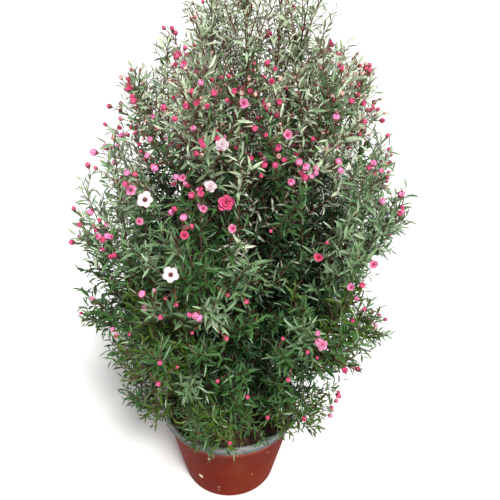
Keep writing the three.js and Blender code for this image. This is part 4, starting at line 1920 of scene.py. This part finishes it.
@dataclass(frozen=True)
class HeartForm:
    """The middle of a flower of unit petal length on +X: a flat disc with a ring of stamens."""

    disc: float = 0.2
    disc_sides: int = 12
    disc_rings: int = 6
    flatness: float = 0.5
    lift: float = 0.02
    stamens: int = 15
    stamen_sides: int = 4
    stamen_radii: Pair = (0.018, 0.034)
    stamen_length: float = 0.22
    stamen_middle: Triple = (0.13, 0.2, 0.0)
    stamen_lean: float = 18.0

    def shape(self) -> Shape:
        """Models the disc and the stamens.

        Returns:
            All of them as one shape.
        """
        bm = bmesh.new()
        bmesh.ops.create_uvsphere(bm, u_segments=self.disc_sides, v_segments=self.disc_rings,
                                  radius=self.disc)
        for corner in bm.verts:
            corner.co = (corner.co.z * self.flatness + self.lift, corner.co.x, corner.co.y)
        lean = Matrix.Rotation(math.radians(self.stamen_lean), 4, "Z") @ Matrix.Rotation(QUARTER_TURN, 4, "Y")
        foot, tip = self.stamen_radii
        for k in range(self.stamens):
            turn = Matrix.Rotation(FULL_TURN * k / self.stamens, 4, "X")
            place = turn @ Matrix.Translation(self.stamen_middle) @ lean
            bmesh.ops.create_cone(bm, cap_ends=True, segments=self.stamen_sides, radius1=foot, radius2=tip,
                                  depth=self.stamen_length, matrix=place)
        return Shape.from_bmesh(bm)


@dataclass
class Blossom:
    """Buds and open flowers on the outer stems, with their stalks, calyces and hearts."""

    growth: Growth
    leaves: Leaves
    studio: Studio
    outer_share: float = 0.86
    bud_size: float = 5.7 * MM
    bud_range: Pair = (0.7, 1.15)
    lone_size: float = 0.8
    high_from: float = 340 * MM
    high_size: float = 0.92
    cream_share: float = 0.42
    crimson_share: float = 0.55
    clusters: int = 400
    fullest: float = 352 * MM
    fullest_span: float = 54 * MM
    few: float = 0.08
    bare_below: float = 50 * MM
    least_odds: float = 0.02
    cluster_sizes: tuple[float, ...] = (0.28, 0.32, 0.24, 0.16)
    cluster_gap: float = 3.8 * MM
    cluster_from: float = 0.3
    tip_tilt: float = 8.0
    side_tilts: Pair = (40.0, 70.0)
    stalk: float = 7.5 * MM
    stalk_outward: float = 0.35
    stalk_radius: float = 0.35 * MM
    stalk_sides: int = 4
    spot_clear: float = 8.0
    spot_lift: float = 2 * MM
    spot_facing: Triple = (0.2, 0.8, 0.2)
    free_flowers: int = 26
    free_above: float = 60 * MM
    free_width: float = 11 * MM
    free_facing: Triple = (0.5, 0.7, 0.2)
    free_blooms: Triple = (0.2, 0.5, 0.3)
    free_full: float = 0.35
    petals: int = 5
    petal_range: Pair = (0.88, 1.08)
    petal_stray: float = 8.0
    petal_seat: float = 0.12
    calyx_share: float = 0.6
    seed: int = 93
    rng: np.random.Generator = field(init=False)
    pixels: np.ndarray = field(init=False)
    depths: np.ndarray = field(init=False)
    bearing: np.ndarray = field(init=False)

    def __post_init__(self) -> None:
        """Finds where the leaf tips show in the picture, and the points that may bear blossom."""
        self.rng = np.random.default_rng(self.seed)
        self.pixels, self.depths = self.studio.project(np.concatenate(self.leaves.tips))
        self.bearing = np.concatenate([stem.line for stem in self.growth.shoots + self.growth.twigs])

    def at_pixel(self, x: float, y: float) -> tuple[np.ndarray, np.ndarray, float]:
        """Where blossom that shows at a pixel sits: just in front of the foremost leaf tip there.

        Args:
            x: the pixel's column.
            y: the pixel's row.

        Returns:
            The nearest stem point, the seat and the seat's depth.
        """
        near = np.hypot(self.pixels[:, 0] - x, self.pixels[:, 1] - y) < self.spot_clear
        depth = self.depths[near].min() - self.spot_lift
        seat = self.studio.behind(x, y, depth)
        return self.bearing[np.argmin(np.linalg.norm(self.bearing - seat, axis=1))], seat, depth

    def turned(self, axes: np.ndarray) -> np.ndarray:
        """Own axes of shapes that face along given axes, each turned at random about its own."""
        side = leaning(axes, np.full(len(axes), QUARTER_TURN), FULL_TURN * self.rng.random(len(axes)))
        return triads(axes, side)

    def outer_stems(self) -> list[Stem]:
        """Finds the shoots and twigs that may flower.

        Returns:
            Those that end at the outside of the crown.
        """
        stems = self.growth.shoots + self.growth.twigs
        ends = np.array([stem.tip for stem in stems])
        envelope = self.growth.envelope
        outer = (envelope.share(ends) > self.outer_share) | (ends[:, 2] - envelope.rim > envelope.bare_to)
        return [stem for stem, kept in zip(stems, outer) if kept]

    def bud_stalks(self, stems: list[Stem]) -> np.ndarray:
        """Deals out the buds: small clusters at the ends of flowering stems, then the lone ones.

        Args:
            stems: the stems that may flower.

        Returns:
            Both ends of each bud's stalk.
        """
        heights = np.array([stem.tip[2] for stem in stems]) - self.growth.pot.height
        odds = self.few + np.exp(-(((heights - self.fullest) / self.fullest_span) ** 2))
        odds *= np.clip(heights / self.bare_below, self.least_odds, 1.0) ** 2
        stalks = []
        for index in self.rng.choice(len(stems), self.clusters, replace=False, p=odds / odds.sum()):
            stem = stems[index]
            count = 1 + self.rng.choice(len(self.cluster_sizes), p=self.cluster_sizes)
            shares = np.maximum(self.cluster_from, 1 - np.arange(count) * self.cluster_gap / stem.length)
            feet, axes = stem.at(shares)
            tilts = self.rng.uniform(*self.side_tilts, count)
            tilts[0] = self.tip_tilt
            outward = unit(feet * LEVEL) * self.stalk_outward
            headings = unit(leaning(axes, np.radians(tilts), FULL_TURN * self.rng.random(count)) + outward)
            stalks.extend(zip(feet, feet + headings * self.stalk))
        stalks.extend(self.at_pixel(x, y)[:2] for x, y in LONE_BUDS)
        return np.array(stalks)

    def flowers(self, stems: list[Stem]) -> list[Flower]:
        """Deals out the open flowers: the conspicuous ones by pixel, those at the back by chance.

        Args:
            stems: the stems that may flower.

        Returns:
            The flowers.
        """
        eye = np.array(self.studio.eye)
        made = []
        for spot in SPOTS:
            foot, seat, depth = self.at_pixel(spot.x, spot.y)
            petal = spot.width * depth / self.studio.focal_pixels / spot.opening.width
            axis = blended(self.spot_facing, unit(seat - foot), unit(eye - seat), UP)
            made.append(Flower(foot, seat, axis, spot.bloom, spot.opening, petal))
        ends = np.array([stem.tip for stem in stems])
        headings = unit(np.array([stem.tip - stem.line[-2] for stem in stems]))
        hidden = np.flatnonzero((ends[:, 1] > 0) & (ends[:, 2] > self.growth.pot.height + self.free_above))
        for index in self.rng.choice(hidden, self.free_flowers, replace=False):
            axis = blended(self.free_facing, headings[index], unit(ends[index] * LEVEL), UP)
            bloom = list(Bloom)[self.rng.choice(len(Bloom), p=self.free_blooms)]
            opening = Opening.FULL if self.rng.random() < self.free_full else Opening.HALF
            seat = ends[index] + axis * self.stalk
            made.append(Flower(ends[index], seat, axis, bloom, opening, self.free_width / opening.width))
        return made

    def build(self) -> None:
        """Models buds, flowers, stalks, calyces and hearts."""
        stems = self.outer_stems()
        buds = self.bud_stalks(stems)
        flowers = self.flowers(stems)
        lines = np.concatenate([buds, [(flower.foot, flower.seat) for flower in flowers]])
        stalks = tubes(lines, np.full((len(lines), 2), self.stalk_radius), self.stalk_sides)
        under = [stalks, self.build_buds(buds), self.build_flowers(flowers)]
        self.growth.dress("calyces_and_stalks", Shape.joined(under), "blossom", CALYX.material())

    def build_buds(self, stalks: np.ndarray) -> Shape:
        """Models the buds, in pieces by tint.

        Args:
            stalks: both ends of each bud's stalk.

        Returns:
            Their calyces.
        """
        feet, seats = stalks[:, 0], stalks[:, 1]
        axes = self.turned(unit(seats - feet))
        draw = self.rng.random(len(seats))
        high = seats[:, 2] > self.growth.pot.height + self.high_from
        lone = np.arange(len(seats)) >= len(seats) - len(LONE_BUDS)
        cream = high & (draw < self.cream_share)
        crimson = ~cream & (lone | (draw > 1 - self.crimson_share))
        chosen = {BudTint.CRIMSON: crimson, BudTint.PINK: ~cream & ~crimson, BudTint.CREAM: cream}
        sizes = self.bud_size * self.rng.uniform(*self.bud_range, len(seats))
        for tint, some in chosen.items():
            sizes[some] *= tint.value.size
        sizes[high] *= self.high_size
        sizes[lone] *= self.lone_size
        scale = np.repeat(sizes[:, None], 3, axis=1)
        template = BudForm().shape()
        for tint, some in chosen.items():
            buds = template.scattered(seats[some], axes[some], scale[some])
            name = tint.value.name.replace("bud", "buds")
            self.growth.dress(name, buds, "blossom", tint.value.material())
        return CalyxForm().shape().scattered(seats, axes, scale)

    def build_flowers(self, flowers: list[Flower]) -> Shape:
        """Models the open flowers, in pieces by colour, and their hearts.

        Args:
            flowers: where they sit and of what kind they are.

        Returns:
            Their calyces.
        """
        petal, calyx, heart = PetalForm().shape(), CalyxForm().shape(), HeartForm().shape()
        petals: dict[Bloom, list[Shape]] = {bloom: [] for bloom in Bloom}
        hearts, calyces = [], []
        for flower in flowers:
            axis, size = flower.axis, flower.petal
            own = self.turned(axis[None])
            for tilt, share in flower.opening.rings:
                turn = FULL_TURN * (self.rng.random() + np.arange(self.petals) / self.petals)
                spread = np.radians(tilt + self.rng.uniform(-self.petal_stray, self.petal_stray, self.petals))
                along = leaning(np.repeat(axis[None], self.petals, axis=0), spread, turn)
                side = unit(np.cross(axis, along))
                seats = flower.seat + self.petal_seat * size * (axis + along)
                sizes = size * share * self.rng.uniform(*self.petal_range, (self.petals, 1)) * np.ones(3)
                petals[flower.bloom].append(petal.scattered(seats, triads(along, side), sizes))
            middle = flower.seat + self.petal_seat * size * axis
            hearts.append(heart.scattered(middle[None], own, np.full((1, 3), size)))
            calyces.append(calyx.scattered(flower.seat[None], own, np.full((1, 3), self.calyx_share * size)))
        for bloom, shapes in petals.items():
            name = bloom.value.name.replace("petal", "petals")
            self.growth.dress(name, Shape.joined(shapes), "blossom", bloom.value.material())
        self.growth.dress("flower_hearts", Shape.joined(hearts), "blossom", HEART.material())
        return Shape.joined(calyces)


# The whole plant


def main() -> None:
    """Builds the studio and every sub-assembly in order."""
    logging.basicConfig(level=logging.INFO, format="%(name)s: %(message)s")
    studio = Studio()
    studio.build()
    pot_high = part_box("pot")[1]
    mix_low, mix_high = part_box("potting_mix")
    pot = Pot(studio, rim_radius=pot_high.x, height=pot_high.z)
    pot.build()
    PottingMix(pot, bottom=mix_low.z).build()
    trunk = Trunk(foot=mix_high.z + SEAT_GAP)
    limbs = LimbPlan(trunk, rim=pot_high.z).limbs()
    Wood(trunk, limbs).build()
    growth = Growth(limbs, pot, mix_high.z, Envelope(rim=pot_high.z))
    growth.grow()
    growth.build()
    leaves = Leaves(growth)
    leaves.build()
    Blossom(growth, leaves, studio).build()


if __name__ == "__main__":
    main()
